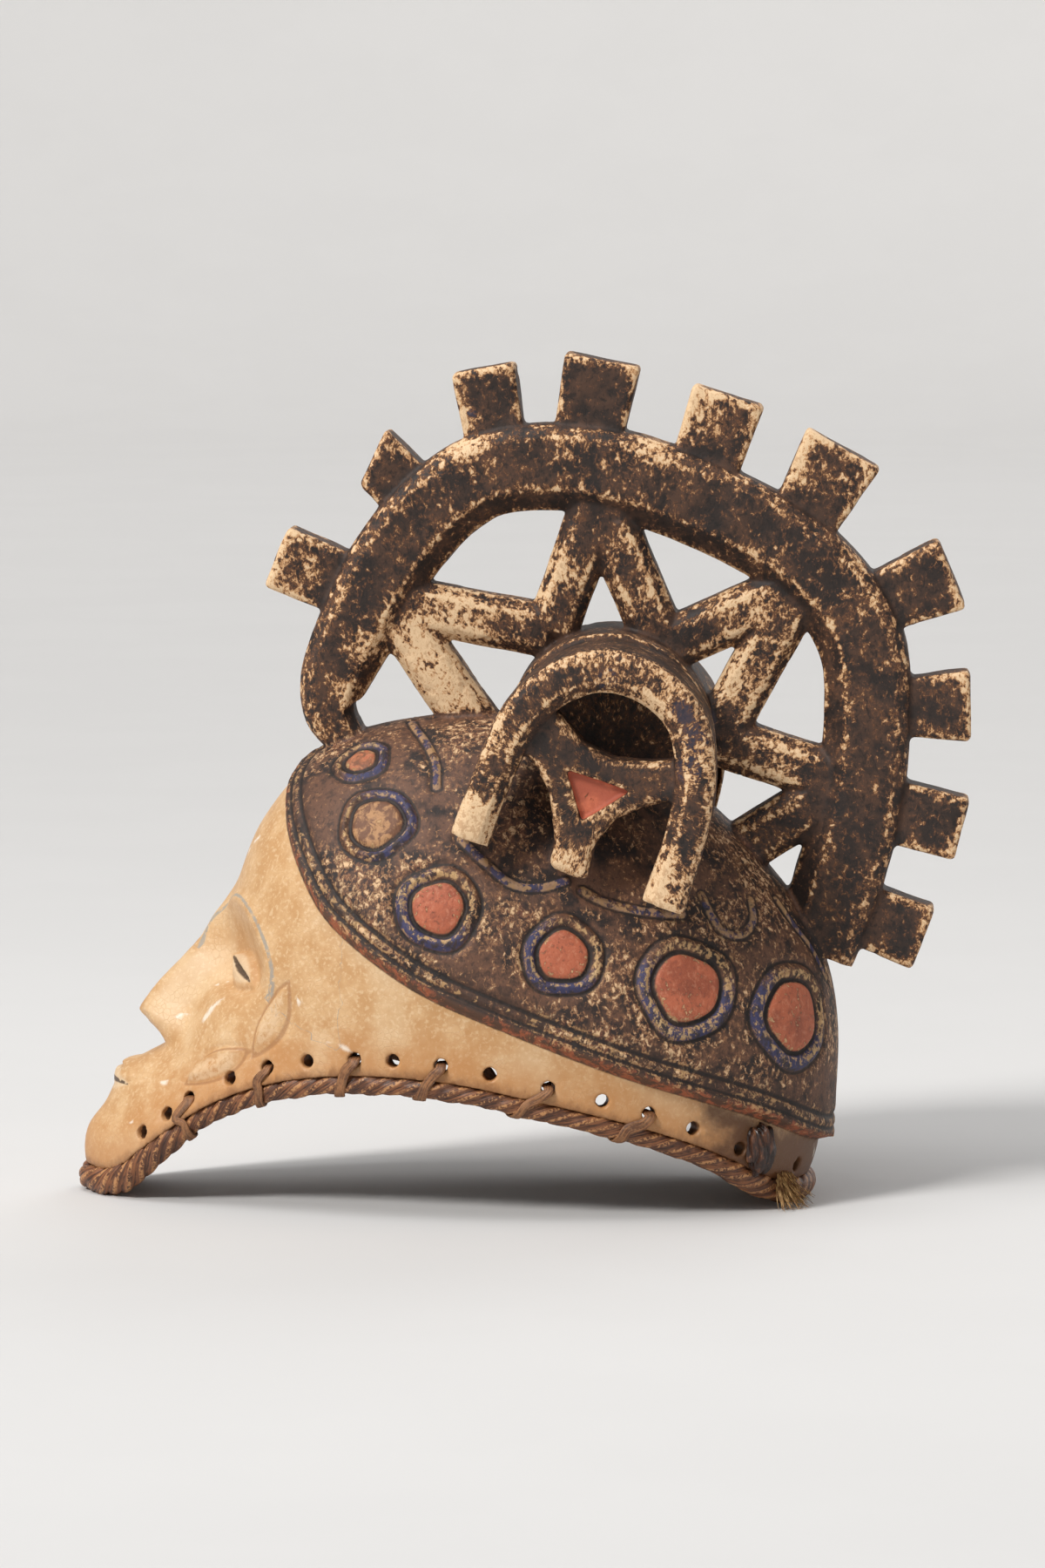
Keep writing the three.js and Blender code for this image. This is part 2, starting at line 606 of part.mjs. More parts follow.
function hangingLoop(side) {
  const rings = alongCurve(LOOP, 18).map((s) => {
    const half = s.mix(2) / 2;
    const back = s.mix(3);
    const c = LOOP_CHAMFER;
    const section = [
      [-half, c - LOOP_FRONT], [c - half, -LOOP_FRONT], [half - c, -LOOP_FRONT], [half, c - LOOP_FRONT],
      [half, 2 - back], [half - 2, -back], [2 - half, -back], [-half, 2 - back],
    ];
    return section.map(([r, y]) => new THREE.Vector3(s.x + r * s.nx, -side * y, s.z + r * s.nz));
  });
  const pieces = [loft(rings)];
  const fork = BRACKET.map(([x, z]) => [x, z]);
  const front = side < 0 ? -BRACKET_FRONT : BRACKET_BACK;
  const back = side < 0 ? -BRACKET_BACK : BRACKET_FRONT;
  const floor = side * (BRACKET_FRONT - RECESS_DEPTH);
  const mouth = side * (BRACKET_FRONT + 10);
  const recess = plate(BRACKET_RECESS, Math.min(floor, mouth), Math.max(floor, mouth));
  pieces.push(plate(fork, front, back).subtract(recess));
  const whole = joined(pieces);
  return side < 0 ? whole : whole.translate([0, 0, -FAR_LOOP_DROP]);
}

// Rim line: where the arch meets the skin, at an angle seen from above. "Inset" runs from
// 0 on the outer skin to 1 on the inner one.
const archAt = (() => {
  const line = alongCurve(RIM_ARCH, 800);
  return (x) => {
    let i = 0;
    while (i + 2 < line.length && line[i + 1].x < x) i += 1;
    const share = (x - line[i].x) / (line[i + 1].x - line[i].x);
    return THREE.MathUtils.lerp(line[i].z, line[i + 1].z, share);
  };
})();

function rimPoint(degrees, { inset = 0, out = 0, above = 0 } = {}) {
  const ux = Math.cos(radians(degrees));
  const uy = Math.sin(radians(degrees));
  const inside = (t) => {
    const x = RIM_MIDDLE_X + t * ux;
    const z = archAt(x) + above;
    const along = THREE.MathUtils.radToDeg(Math.atan2(z - HEAD_Z, x - HEAD_X));
    const n = fullness(along);
    const reach = outline(along) - inset * wall(along) + out;
    const width = HEAD_HALF_WIDTH - inset * SIDE_WALL + out;
    return (Math.hypot(x - HEAD_X, z - HEAD_Z) / reach) ** n + Math.abs((t * uy) / width) ** n < 1;
  };
  let low = 20;
  let high = 230;
  for (let i = 0; i < 40; i += 1) {
    const middle = (low + high) / 2;
    if (inside(middle)) low = middle;
    else high = middle;
  }
  const x = RIM_MIDDLE_X + low * ux;
  return new THREE.Vector3(x, low * uy, archAt(x) + above);
}

function rimOutward(degrees) {
  const step = rimPoint(degrees + 1).sub(rimPoint(degrees - 1));
  return new THREE.Vector3(step.y, -step.x, 0).normalize();
}

// The roll's thickness and how far its middle lies from the outer skin, chin to nape.
function rollRadiusAt(x) {
  return 4.1 + 1.6 * smooth(-130, -165, x) + 0.9 * smooth(70, 105, x);
}

function rollOutAt(x) {
  return -4 + 3.2 * smooth(-140, -172, x) + 2 * smooth(70, 110, x);
}

function rollMiddle(degrees) {
  const place = rimPoint(degrees, { out: rollOutAt(rimPoint(degrees).x) });
  const radius = rollRadiusAt(place.x);
  const slope = (archAt(place.x + 1) - archAt(place.x - 1)) / 2;
  const drop = (radius + ROLL_GAP) / Math.hypot(1, slope);
  return { place: place.add(new THREE.Vector3(slope * drop, 0, -drop)), radius };
}

// Angles that share a line round the rim evenly, between two of its angles.
function evenAngles(from, to, steps, pointAt) {
  const dense = 720;
  const angleOf = (i) => from + ((to - from) * i) / dense;
  const run = [0];
  for (let i = 1; i <= dense; i += 1) {
    run.push(run[i - 1] + pointAt(angleOf(i)).distanceTo(pointAt(angleOf(i - 1))));
  }
  const angles = [];
  let k = 0;
  for (let i = 0; i <= steps; i += 1) {
    const want = (run[dense] * i) / steps;
    while (k + 1 < dense && run[k + 1] < want) k += 1;
    angles.push(angleOf(k + (want - run[k]) / (run[k + 1] - run[k])));
  }
  return angles;
}

// Directions square to the roll where it runs along a tangent: level and outward, and up.
function squareTo(tangent) {
  const outward = new THREE.Vector3(tangent.y, -tangent.x, 0).normalize();
  return { outward, up: new THREE.Vector3().crossVectors(outward, tangent).normalize() };
}

function rimRoll() {
  const angles = evenAngles(0, 360, ROLL_STEPS, (angle) => rollMiddle(angle).place).slice(0, -1);
  const middles = angles.map(rollMiddle);
  const rings = middles.map(({ place, radius }, i) => {
    const before = middles[(i + middles.length - 1) % middles.length].place;
    const after = middles[(i + 1) % middles.length].place;
    const { outward, up } = squareTo(after.clone().sub(before));
    return Array.from({ length: ROLL_SIDES }, (_, k) => {
      const turn = ((k + 0.5) / ROLL_SIDES) * 2 * Math.PI;
      return place.clone()
        .addScaledVector(outward, radius * Math.cos(turn))
        .addScaledVector(up, radius * Math.sin(turn));
    });
  });
  const floor = plate([[-260, -40], [260, -40], [260, 0], [-260, 0]], -150, 150);
  return loft(rings, true).subtract(floor);
}

// Angles of the lacing holes on the near side, from the chin to the nape.
function holeAngles() {
  const lineAt = (angle) => rimPoint(angle, { above: HOLE_ABOVE_RIM });
  const angleAtX = (x) => {
    let low = 180.5;
    let high = 359.5;
    for (let i = 0; i < 40; i += 1) {
      const middle = (low + high) / 2;
      if (lineAt(middle).x < x) low = middle;
      else high = middle;
    }
    return low;
  };
  return HOLES.map(angleAtX);
}

function lacingHoles() {
  const near = holeAngles();
  return [...near, ...near.map((angle) => 360 - angle)].map((angle) => {
    const place = rimPoint(angle, { above: HOLE_ABOVE_RIM });
    const outward = rimOutward(angle);
    const level = new THREE.Vector3(-outward.y, outward.x, 0);
    const ring = (reach) => Array.from({ length: HOLE_SIDES }, (_, k) => {
      const turn = (k / HOLE_SIDES) * 2 * Math.PI;
      return place.clone()
        .addScaledVector(outward, reach)
        .addScaledVector(level, HOLE_RADIUS * Math.cos(turn))
        .add(new THREE.Vector3(0, 0, HOLE_RADIUS * Math.sin(turn)));
    });
    return loft([ring(-26), ring(8)]);
  });
}

// A thin round strand along a run of points.
function strand(places, radii, sides) {
  let up = new THREE.Vector3(0, 0, 1);
  const rings = places.map((place, i) => {
    const before = places[Math.max(i - 1, 0)];
    const after = places[Math.min(i + 1, places.length - 1)];
    const tangent = after.clone().sub(before).normalize();
    up = up.clone().addScaledVector(tangent, -up.dot(tangent)).normalize();
    const across = new THREE.Vector3().crossVectors(tangent, up);
    return Array.from({ length: sides }, (_, k) => {
      const turn = (k / sides) * 2 * Math.PI;
      return place.clone()
        .addScaledVector(up, radii[i] * Math.cos(turn))
        .addScaledVector(across, radii[i] * Math.sin(turn));
    });
  });
  return loft(rings);
}

// One stitch, from a hole's outer mouth over the roll and back up inside to the next hole.
function stitch(angle, step) {
  const at = (share) => angle + share * step;
  const roundRoll = (share, turn) => {
    const { place, radius } = rollMiddle(at(share));
    const tangent = rollMiddle(at(share) + 1).place.sub(rollMiddle(at(share) - 1).place);
    const around = squareTo(tangent);
    return place.addScaledVector(around.outward, (radius + LACE_CLEAR) * Math.cos(radians(turn)))
      .addScaledVector(around.up, (radius + LACE_CLEAR) * Math.sin(radians(turn)));
  };
  const hole = rimPoint(angle, { above: HOLE_ABOVE_RIM });
  const outward = rimOutward(angle);
  const within = rimPoint(angle, { inset: 1, out: -LACE_CLEAR_INSIDE, above: HOLE_ABOVE_RIM });
  const depth = hole.clone().sub(within).dot(outward);
  return [
    hole.clone().addScaledVector(outward, -depth),
    hole.clone().addScaledVector(outward, LACE_CLEAR),
    rimPoint(at(0.2), { out: LACE_CLEAR, above: 1 }),
    roundRoll(0.32, 0),
    roundRoll(0.39, -50),
    roundRoll(0.46, -100),
    roundRoll(0.53, -150),
    roundRoll(0.6, -200),
    rimPoint(at(0.8), { inset: 1, out: -LACE_CLEAR_INSIDE, above: 3 }),
    rimPoint(at(1), { inset: 1, out: -LACE_CLEAR_INSIDE, above: HOLE_ABOVE_RIM }),
  ];
}

function lashing() {
  const near = holeAngles().slice(LACED_HOLES[0], LACED_HOLES[1] + 1);
  const places = [];
  const side = (angles) => {
    for (let i = 1; i + 1 < angles.length; i += 2) {
      places.push(...stitch(angles[i], angles[i + 1] - angles[i]));
    }
  };
  side([...near].reverse());
  for (const angle of [188, 184, 180, 176, 172]) {
    places.push(rimPoint(angle, { inset: 1, out: -8, above: HOLE_ABOVE_RIM + 6 }));
  }
  side(near.map((angle) => 360 - angle));
  return strand(places, places.map(() => LACE_RADIUS), 4);
}

// The knot is a lump pressed against the wood, between the cap's edge and the roll.
function bindingKnot() {
  const { x, z, along, up, out } = KNOT;
  const outward = capNormal(x, z, -1);
  const place = new THREE.Vector3(x, -halfWidthAt(x, z), z);
  const lump = new THREE.SphereGeometry(1, 10, 7);
  lump.scale(along, out, up);
  lump.applyQuaternion(new THREE.Quaternion().setFromUnitVectors(new THREE.Vector3(0, -1, 0), outward));
  lump.translate(place.x, place.y, place.z);
  const clear = ball(range(-30, 330, 60), range(-87, 90, 59), (a, b) => skin(a, b, () => 0.6));
  return solid(lump).subtract(clear).subtract(capSkin(0.5));
}

function fibreTuft() {
  const { angle, radius } = TUFT;
  const outward = rimOutward(angle);
  const roll = rollMiddle(angle);
  const beside = (reach, z) => roll.place.clone().addScaledVector(outward, reach).setZ(z);
  const places = [
    rimPoint(angle, { out: 4.5, above: 4 }), beside(roll.radius + 4.2, 9), beside(roll.radius + 5, 4),
    beside(roll.radius + 9, 1.2),
  ];
  return strand(places, [radius, radius, radius * 0.9, 1], 6);
}

function mesh(name, body, colour, roughness) {
  const { vertProperties, triVerts } = body.getMesh();
  const geometry = new THREE.BufferGeometry();
  geometry.setAttribute('position', new THREE.BufferAttribute(Float32Array.from(vertProperties), 3));
  geometry.setIndex(new THREE.BufferAttribute(Uint32Array.from(triVerts), 1));
  geometry.computeVertexNormals();
  const material = new THREE.MeshStandardMaterial({ color: colour, roughness, metalness: 0 });
  const piece = new THREE.Mesh(geometry, material);
  piece.name = name;
  return piece;
}

const shell = helmetSkin().add(capSkin());
const crest = joined([hoop(), ...PEGS.map(peg), ...starBars(), drum(), hangingLoop(-1), hangingLoop(1)]);
const carved = joined([shell, ...faceOvals(), ...reliefCircles(), crest])
  .subtract(hollow())
  .subtract(belowRim())
  .subtract(joined(lacingHoles()));

const mask = new THREE.Group();
mask.add(mesh('carved_mask', carved, 0x5a4434, 0.8));
mask.add(mesh('rim_roll', rimRoll(), 0x6e4b3c, 0.85));
mask.add(mesh('lashing', lashing(), 0xa5734b, 0.7));
mask.add(mesh('binding_knot', bindingKnot(), 0x32201a, 0.25));
mask.add(mesh('fibre_tuft', fibreTuft(), 0xb89a68, 0.9));

// The origin is on the floor, under the middle of the whole.
const box = new THREE.Box3().setFromObject(mask);
const middle = box.getCenter(new THREE.Vector3());
for (const piece of mask.children) piece.geometry.translate(-middle.x, 0, -box.min.z);

export default mask;
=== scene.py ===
import bpy
import numpy as np
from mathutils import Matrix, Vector, kdtree


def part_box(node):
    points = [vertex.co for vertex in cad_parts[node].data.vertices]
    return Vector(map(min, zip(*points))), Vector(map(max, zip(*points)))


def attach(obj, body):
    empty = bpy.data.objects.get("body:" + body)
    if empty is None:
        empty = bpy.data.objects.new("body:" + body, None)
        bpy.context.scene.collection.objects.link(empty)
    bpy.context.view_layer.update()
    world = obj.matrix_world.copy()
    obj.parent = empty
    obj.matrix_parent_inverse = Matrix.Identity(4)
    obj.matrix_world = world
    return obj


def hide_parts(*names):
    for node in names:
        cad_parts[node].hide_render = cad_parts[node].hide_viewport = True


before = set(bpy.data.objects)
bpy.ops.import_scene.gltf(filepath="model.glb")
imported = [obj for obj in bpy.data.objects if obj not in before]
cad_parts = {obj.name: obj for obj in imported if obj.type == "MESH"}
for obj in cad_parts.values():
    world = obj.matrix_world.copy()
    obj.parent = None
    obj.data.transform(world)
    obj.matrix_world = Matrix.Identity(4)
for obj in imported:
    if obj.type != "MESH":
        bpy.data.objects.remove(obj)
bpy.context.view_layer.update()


# The head, from the chin over the crown to the nape: one block of hardwood, carved to a full oval
# on each side. Its outline is drawn in the plane of symmetry, in millimetres from a centre inside it,
# with degrees that run from the nape (0) over the crown (90) to the face (180).
CREST_BACK_X = 188.0
MIDDLE_X = CREST_BACK_X - 1000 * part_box("carved_mask")[1].x
HEAD_X = -10.0
HEAD_Z = 50.0
HEAD_HALF_WIDTH = 84.0
HEAD_OUTLINE = [
    (-50, 108), (-19, 136), (0, 137.5), (20, 142), (40, 140.5), (60, 143.5), (80, 148.5), (100, 150),
    (118, 152.5), (132, 145), (144, 134.5), (159, 126.5), (172, 133), (181, 149), (189, 170), (196, 174),
    (208, 150), (240, 108), (275, 92),
]
HEAD_FULLNESS = [
    (0, 2.2), (60, 2.2), (110, 2.2), (150, 2.15), (180, 1.85), (192, 1.7), (205, 1.8), (270, 2.1),
]
HEAD_CENTRE = np.array([HEAD_X, 0, HEAD_Z])
HEAD_COLUMNS = 225
HEAD_RINGS = 80
FACE_FOOT = (-172.0, 5.0)
FACE_LEAN = np.radians(62.0)
FACE_TOP = (112, 120)
FACE_END = (215, 207)
NOSE = dict(tip=73, foot=65, bridge=124, height=20, half_width=6)
NOSE_WING = dict(out=7.5, up=70, across=10.5, tall=6, wide=5, power=1)
NOSTRIL = dict(out=-3, up=66.5, across=7, tall=2.6, wide=3.2, power=1)
SOCKET = dict(out=-11, up=111, across=29, tall=14, wide=20, power=1.6)
BROW = dict(out=1.5, up=113, across=29, tall=20, wide=25)
MUZZLE = dict(out=7, up=45, across=0, tall=15, wide=25, power=1.5)
CHEEK = dict(out=4, up=84, across=40, tall=26, wide=18, power=1)
CHIN = dict(out=5, up=15, across=0, tall=20, wide=20, power=1)
LIP_FURROW = dict(out=-1.2, up=57, across=0, tall=6, wide=2.6, power=1)
EYE = dict(out=6, slit=3.4, up=108, across=28.5, half_length=16, half_height=7.5, turn=-5)
MOUTH = dict(out=4.6, slit=3.2, up=44, across=0, half_length=17.5, half_height=7.5, turn=0)
SCARS = [
    dict(up=70, across=46, half_length=15.5, half_height=4.6, turn=62),
    dict(up=100, across=58, half_length=17.5, half_height=3.4, turn=82),
]


def around(knots):
    """A smooth closed curve through a list of (degrees, value)."""
    angle, value = np.array(knots, float).T
    count = len(knots)
    a = np.concatenate([angle[-2:] - 360, angle, angle[:3] + 360])
    v = np.concatenate([value[-2:], value, value[:3]])
    slope = np.zeros(len(a))
    slope[1:-1] = (v[2:] - v[:-2]) / (a[2:] - a[:-2])

    def at(degrees):
        d = (np.asarray(degrees, float) - angle[0]) % 360 + angle[0]
        i = np.clip(np.searchsorted(a, d, side="right") - 1, 2, count + 1)
        span = a[i + 1] - a[i]
        s = (d - a[i]) / span
        rising = (s**3 - 2 * s**2 + s) * span * slope[i] + (s**3 - s**2) * span * slope[i + 1]
        return (2 * s**3 - 3 * s**2 + 1) * v[i] + (3 * s**2 - 2 * s**3) * v[i + 1] + rising

    return at


def through(points, steps, places=2):
    """An open curve through rows that start with a place, evenly stepped; the rest of a row is blended."""
    p = np.array(points, float)
    ends = np.vstack([2 * p[0] - p[1], p, 2 * p[-1] - p[-2]])
    dense = []
    for k in range(len(p) - 1):
        a, b, c, d = ends[k:k + 4, :places]
        t0, t1, t2 = (np.linalg.norm(q - r) ** 0.5 for q, r in ((b, a), (c, b), (d, c)))
        start = ((b - a) / t0 - (c - a) / (t0 + t1) + (c - b) / t1) * t1
        stop = ((c - b) / t1 - (d - b) / (t1 + t2) + (d - c) / t2) * t1
        s = np.linspace(0, 1, 60, endpoint=k == len(p) - 2)[:, None]
        place = b + start * s + (3 * (c - b) - 2 * start - stop) * s**2 + (2 * (b - c) + start + stop) * s**3
        dense.append(np.hstack([place, p[k, places:] + (p[k + 1, places:] - p[k, places:]) * s]))
    dense = np.vstack(dense)
    run = run_of(dense[:, :places])
    want = np.linspace(0, run[-1], steps + 1)
    return np.column_stack([np.interp(want, run, column) for column in dense.T])


def run_of(places):
    """How far along a line each of its places is."""
    return np.concatenate([[0], np.cumsum(np.linalg.norm(np.diff(places, axis=0), axis=1))])


def unit(vectors):
    return vectors / np.linalg.norm(vectors, axis=-1, keepdims=True)


def drawn_curve(points, steps):
    """A curve drawn in side view, with its normals."""
    rows = through(points, steps)
    tangent = unit(np.gradient(rows[:, :2], axis=0))
    return rows, np.column_stack([-tangent[:, 1], tangent[:, 0]])


def smooth(start, stop, value):
    share = np.clip((value - start) / (stop - start), 0, 1)
    return share * share * (3 - 2 * share)


def bump(distance):
    return np.exp(-distance * distance)


outline = around(HEAD_OUTLINE)
fullness = around(HEAD_FULLNESS)


def skin(along, across, out=0.0, side_out=0.0):
    """Places on the head's skin, seen from its centre, set out by some millimetres."""
    n = fullness(along)
    c = np.cos(np.radians(across))
    s = np.sin(np.radians(across))
    r = ((c / (outline(along) + out)) ** n + (np.abs(s) / (HEAD_HALF_WIDTH + side_out)) ** n) ** (-1 / n)
    flat = r * c
    x = HEAD_X + flat * np.cos(np.radians(along))
    return np.stack([x, r * s, HEAD_Z + flat * np.sin(np.radians(along))], -1)


def half_width(x, z):
    """How far out the head's side is at a place of the side view."""
    along = np.degrees(np.arctan2(z - HEAD_Z, x - HEAD_X))
    share = np.hypot(x - HEAD_X, z - HEAD_Z) / outline(along)
    n = fullness(along)
    return HEAD_HALF_WIDTH * np.clip(1 - share**n, 0, None) ** (1 / n)


def skin_below(points):
    """Places on the skin in line with points and the head's centre, and how far above them the points are."""
    d = points - HEAD_CENTRE
    reach = np.linalg.norm(d, axis=1)
    along = np.degrees(np.arctan2(d[:, 2], d[:, 0]))
    across = np.degrees(np.arcsin(np.clip(d[:, 1] / reach, -1, 1)))
    below = skin(along, across)
    return below, reach - np.linalg.norm(below - HEAD_CENTRE, axis=1)


def up_the_face(points):
    lean = np.array([np.cos(FACE_LEAN), 0, np.sin(FACE_LEAN)])
    return (points - np.array([FACE_FOOT[0], 0, FACE_FOOT[1]])) @ lean


def inside_leaf(up, across, leaf, thin=1.0):
    """How deep places of the face are inside a pointed oval, with its height times thin."""
    turn = np.radians(leaf["turn"])
    u = up - leaf["up"]
    v = across - leaf["across"]
    length = v * np.cos(turn) + u * np.sin(turn)
    height = u * np.cos(turn) - v * np.sin(turn)
    share = np.clip(np.abs(length) / leaf["half_length"], 0, 1.6)
    return thin * leaf["half_height"] * (1 - share**2) - np.abs(height)


def reach_of(form, up, across):
    """How far places of the face are from the middle of a form, where 1 is its edge."""
    return np.hypot((up - form["up"]) / form["tall"], (across - form["across"]) / form["wide"])


def hill(form, up, across):
    """A soft rise, or a hollow where the form's out is below 0."""
    return form["out"] * bump(reach_of(form, up, across) ** form["power"])


def face_relief(up, y):
    """How far the carving of the face stands off the head's skin, alike on both sides."""
    v = np.abs(y)
    climb = smooth(NOSE["bridge"] + 8, NOSE["tip"], up)
    ridge = NOSE["height"] * (0.2 + 0.8 * climb) * smooth(NOSE["foot"] - 3.5, NOSE["foot"] + 4, up)
    ridge *= smooth(NOSE["bridge"] + 16, NOSE["bridge"] - 6, up)
    out = ridge * bump((v / (NOSE["half_width"] * (1 + 0.75 * climb))) ** 1.3)
    for form in (NOSE_WING, NOSTRIL, SOCKET):
        out += hill(form, up, v)
    out += BROW["out"] * bump((reach_of(BROW, up, v) - 1) * 7) * smooth(106, 116, up)
    for form in (MUZZLE, CHEEK, CHIN, LIP_FURROW):
        out += hill(form, up, v)
    lid = inside_leaf(up, v, EYE)
    out += EYE["out"] * np.clip(lid / EYE["half_height"], 0, 1) ** 0.6 - 0.8 * bump((lid + 0.6) / 1.2)
    out -= EYE["slit"] * smooth(-0.2, 0.9, inside_leaf(up, v, EYE, 0.2))
    lip = inside_leaf(up, v, MOUTH)
    out += MOUTH["out"] * np.clip(lip / MOUTH["half_height"], 0, 1) ** 0.6
    out -= MOUTH["slit"] * smooth(-0.4, 0.8, inside_leaf(up, v, MOUTH, 0.13))
    for scar in SCARS:
        leaf = inside_leaf(up, v, scar)
        out += 2.2 * smooth(0.3, 2.6, leaf) - 1.5 * bump((leaf + 0.3) / 0.9) - 1.0 * bump((leaf - 4) / 0.7)
    return out


# The cap, or dressed hair: a raised field round the back of the head with a rolled lip, two grooves
# beside it, six round bosses on each side and swags of doubled grooves below the crest. It is cut
# from the same block, stained dark, and its bosses are red in rings of blue.
CAP_RISE = [(-20, 5.5), (0, 5.5), (30, 4.5), (60, 3), (120, 3), (200, 3), (270, 3)]
CAP_EDGE = [
    (-84.5, 187.5), (-91.9, 176.5), (-94.9, 170.5), (-94.7, 160.9), (-91.3, 149.6), (-85.3, 136.7),
    (-77.5, 124.4), (-65.2, 112.9), (-37.9, 94.7), (5.1, 76.1), (44.6, 60.5), (84.7, 46.4), (103.9, 38.4),
    (127, 24.5),
]
CAP_OVER_THE_TOP = [(160, 24.5), (170, 150), (60, 240), (-84.5, 230)]
BORDER_GROOVES = (4.6, 9.6)
BOSSES = [
    dict(x=-63, z=182.5, band=12.5, disc=6, red=0.45, blue_at=180),
    dict(x=-55, z=159, band=16.5, disc=10, red=0.12, blue_at=170),
    dict(x=-29, z=126.5, band=17.5, disc=10, red=1.0, blue_at=-35),
    dict(x=21, z=108, band=16.5, disc=9.5, red=0.9, blue_at=-40),
    dict(x=69, z=94, band=21, disc=13, red=1.0, blue_at=-70),
    dict(x=111, z=80, band=22, disc=13.5, red=1.0, blue_at=-50),
]
SWAGS = [
    [(-20.7, 153.5), (-9, 143), (0.8, 135.8), (12, 134.5), (21.7, 137.2)],
    [(28, 133.4), (37, 128.6), (47.4, 125.5), (58, 123.4), (67.4, 122.6)],
    [(75, 129.6), (79, 121), (84, 114.5), (91, 113.5), (95, 118), (94.4, 126)],
    [(104.3, 124.8), (111, 115), (118.5, 104), (124, 92)],
    [(-44, 196), (-37, 190), (-32, 182), (-31, 173)],
]
CAP_LIP = (-0.4, 1.8)
CAP_FIELDS = ("cap_edge", "disc", "band", "red", "blue_side", "swag", "groove")
FAR = 40.0
SLOPE_STEP = 4.0

cap_rise = around(CAP_RISE)


def nearest(places, tree):
    """Distance from each place to the nearest point of a tree."""
    return np.array([tree.find(place)[2] for place in places])


def tree_of(points):
    tree = kdtree.KDTree(len(points))
    for i, point in enumerate(points):
        tree.insert(point, i)
    tree.balance()
    return tree


def line_on_skin(points, steps):
    """A line drawn on the near side of the head in side view, and its twin on the far side."""
    rows = through(points, steps)
    y = half_width(rows[:, 0], rows[:, 1])
    return np.vstack([np.column_stack([rows[:, 0], side * y, rows[:, 1]]) for side in (-1, 1)])


def inside_polygon(x, z, corners):
    inside = np.zeros(len(x), bool)
    previous = corners[-1]
    for corner in corners:
        (x0, z0), (x1, z1) = previous, corner
        crosses = (z0 > z) != (z1 > z)
        if z0 != z1:
            inside ^= crosses & (x < (x1 - x0) * (z - z0) / (z1 - z0) + x0)
        previous = corner
    return inside


edge_tree = tree_of(line_on_skin(CAP_EDGE, 900))
swag_tree = tree_of(np.vstack([line_on_skin(swag, 120) for swag in SWAGS]))
cap_outline = [tuple(row) for row in through(CAP_EDGE, 90)] + CAP_OVER_THE_TOP


def cap_fields(below):
    """What the cap's carving and paint go by, at places on the head's skin, in millimetres."""
    field = {name: np.full(len(below), -FAR) for name in CAP_FIELDS}
    field["cap_edge"] = np.clip(nearest(below, edge_tree), 0, FAR)
    outside = ~inside_polygon(below[:, 0], below[:, 2], cap_outline)
    field["cap_edge"][outside] *= -1
    field["swag"] = np.clip(nearest(below, swag_tree), 0, FAR)
    field["red"] = np.zeros(len(below))
    field["blue_side"] = np.zeros(len(below))
    on_one_side = np.column_stack([below[:, 0], np.abs(below[:, 1]), below[:, 2]])
    for i, boss in enumerate(BOSSES):
        x, z = boss["x"], boss["z"]
        slope_x = (half_width(x + SLOPE_STEP, z) - half_width(x - SLOPE_STEP, z)) / (2 * SLOPE_STEP)
        slope_z = (half_width(x, z + SLOPE_STEP) - half_width(x, z - SLOPE_STEP)) / (2 * SLOPE_STEP)
        normal = unit(np.array([-slope_x, 1.0, -slope_z]))
        level = unit(np.cross([0, 0, 1], normal))
        upward = np.cross(normal, level)
        d = on_one_side - [x, half_width(x, z), z]
        a, b = d @ level, d @ upward
        turn = np.arctan2(b, a)
        wobble = 1 + 0.035 * np.sin(3 * turn + i * 2.1) + 0.025 * np.sin(5 * turn + i)
        r = np.where(np.abs(d @ normal) < boss["band"] + 6, np.hypot(a, b) * wobble, FAR)
        near = boss["band"] - r > field["band"]
        field["band"][near] = (boss["band"] - r)[near]
        field["disc"][near] = (boss["disc"] - r)[near]
        field["red"][near] = boss["red"]
        field["blue_side"][near] = (0.5 + 0.5 * np.cos(turn - np.radians(boss["blue_at"])))[near]
    return field


def cap_relief(field):
    """Height of the cap's carving, and how far each place is down in a groove."""
    edge, band, disc = field["cap_edge"], field["band"], field["disc"]
    on_cap = smooth(0.5, 3.0, edge)
    first, second = BORDER_GROOVES
    border = bump((edge - first) / 0.95) + 1.1 * bump((edge - second) / 1.15)
    clear_of_border, clear_of_rings = smooth(12.5, 15, edge), smooth(1.5, -1, band)
    swag = bump((field["swag"] - 2.2) / 0.85) * clear_of_border * clear_of_rings
    ring = 1.1 * bump((band + 0.2) / 0.95) + 1.35 * bump((disc + 1.3) / 1.05)
    ring += 0.4 * bump((band - 4.4) / 0.6) * smooth(-3, -4, disc)
    ring *= smooth(-8, -5, -np.abs(np.minimum(band, 0)))
    groove = np.clip(border + swag + ring, 0, 1.35) * on_cap
    height = 0.8 * bump((edge - 2.4) / 1.7) + 0.35 * bump((edge - 7.1) / 1.7)
    height += 0.9 * smooth(0.6, 2.2, band) * smooth(-2.2, -3.6, disc)
    height += (0.5 + 0.02 * np.clip(disc, 0, 14) ** 1.5) * smooth(-0.6, 0.8, disc)
    height += 0.5 * bump(field["swag"] / 1.2) * clear_of_border * clear_of_rings
    return height * on_cap - 1.15 * groove, groove


def pick(*objects):
    """Selects these and nothing else; the first one is active."""
    bpy.ops.object.select_all(action="DESELECT")
    for obj in objects:
        obj.select_set(True)
    bpy.context.view_layer.objects.active = objects[0]


def points_of(obj):
    co = np.empty(3 * len(obj.data.vertices), np.float32)
    obj.data.vertices.foreach_get("co", co)
    return co.reshape(-1, 3).astype(float)


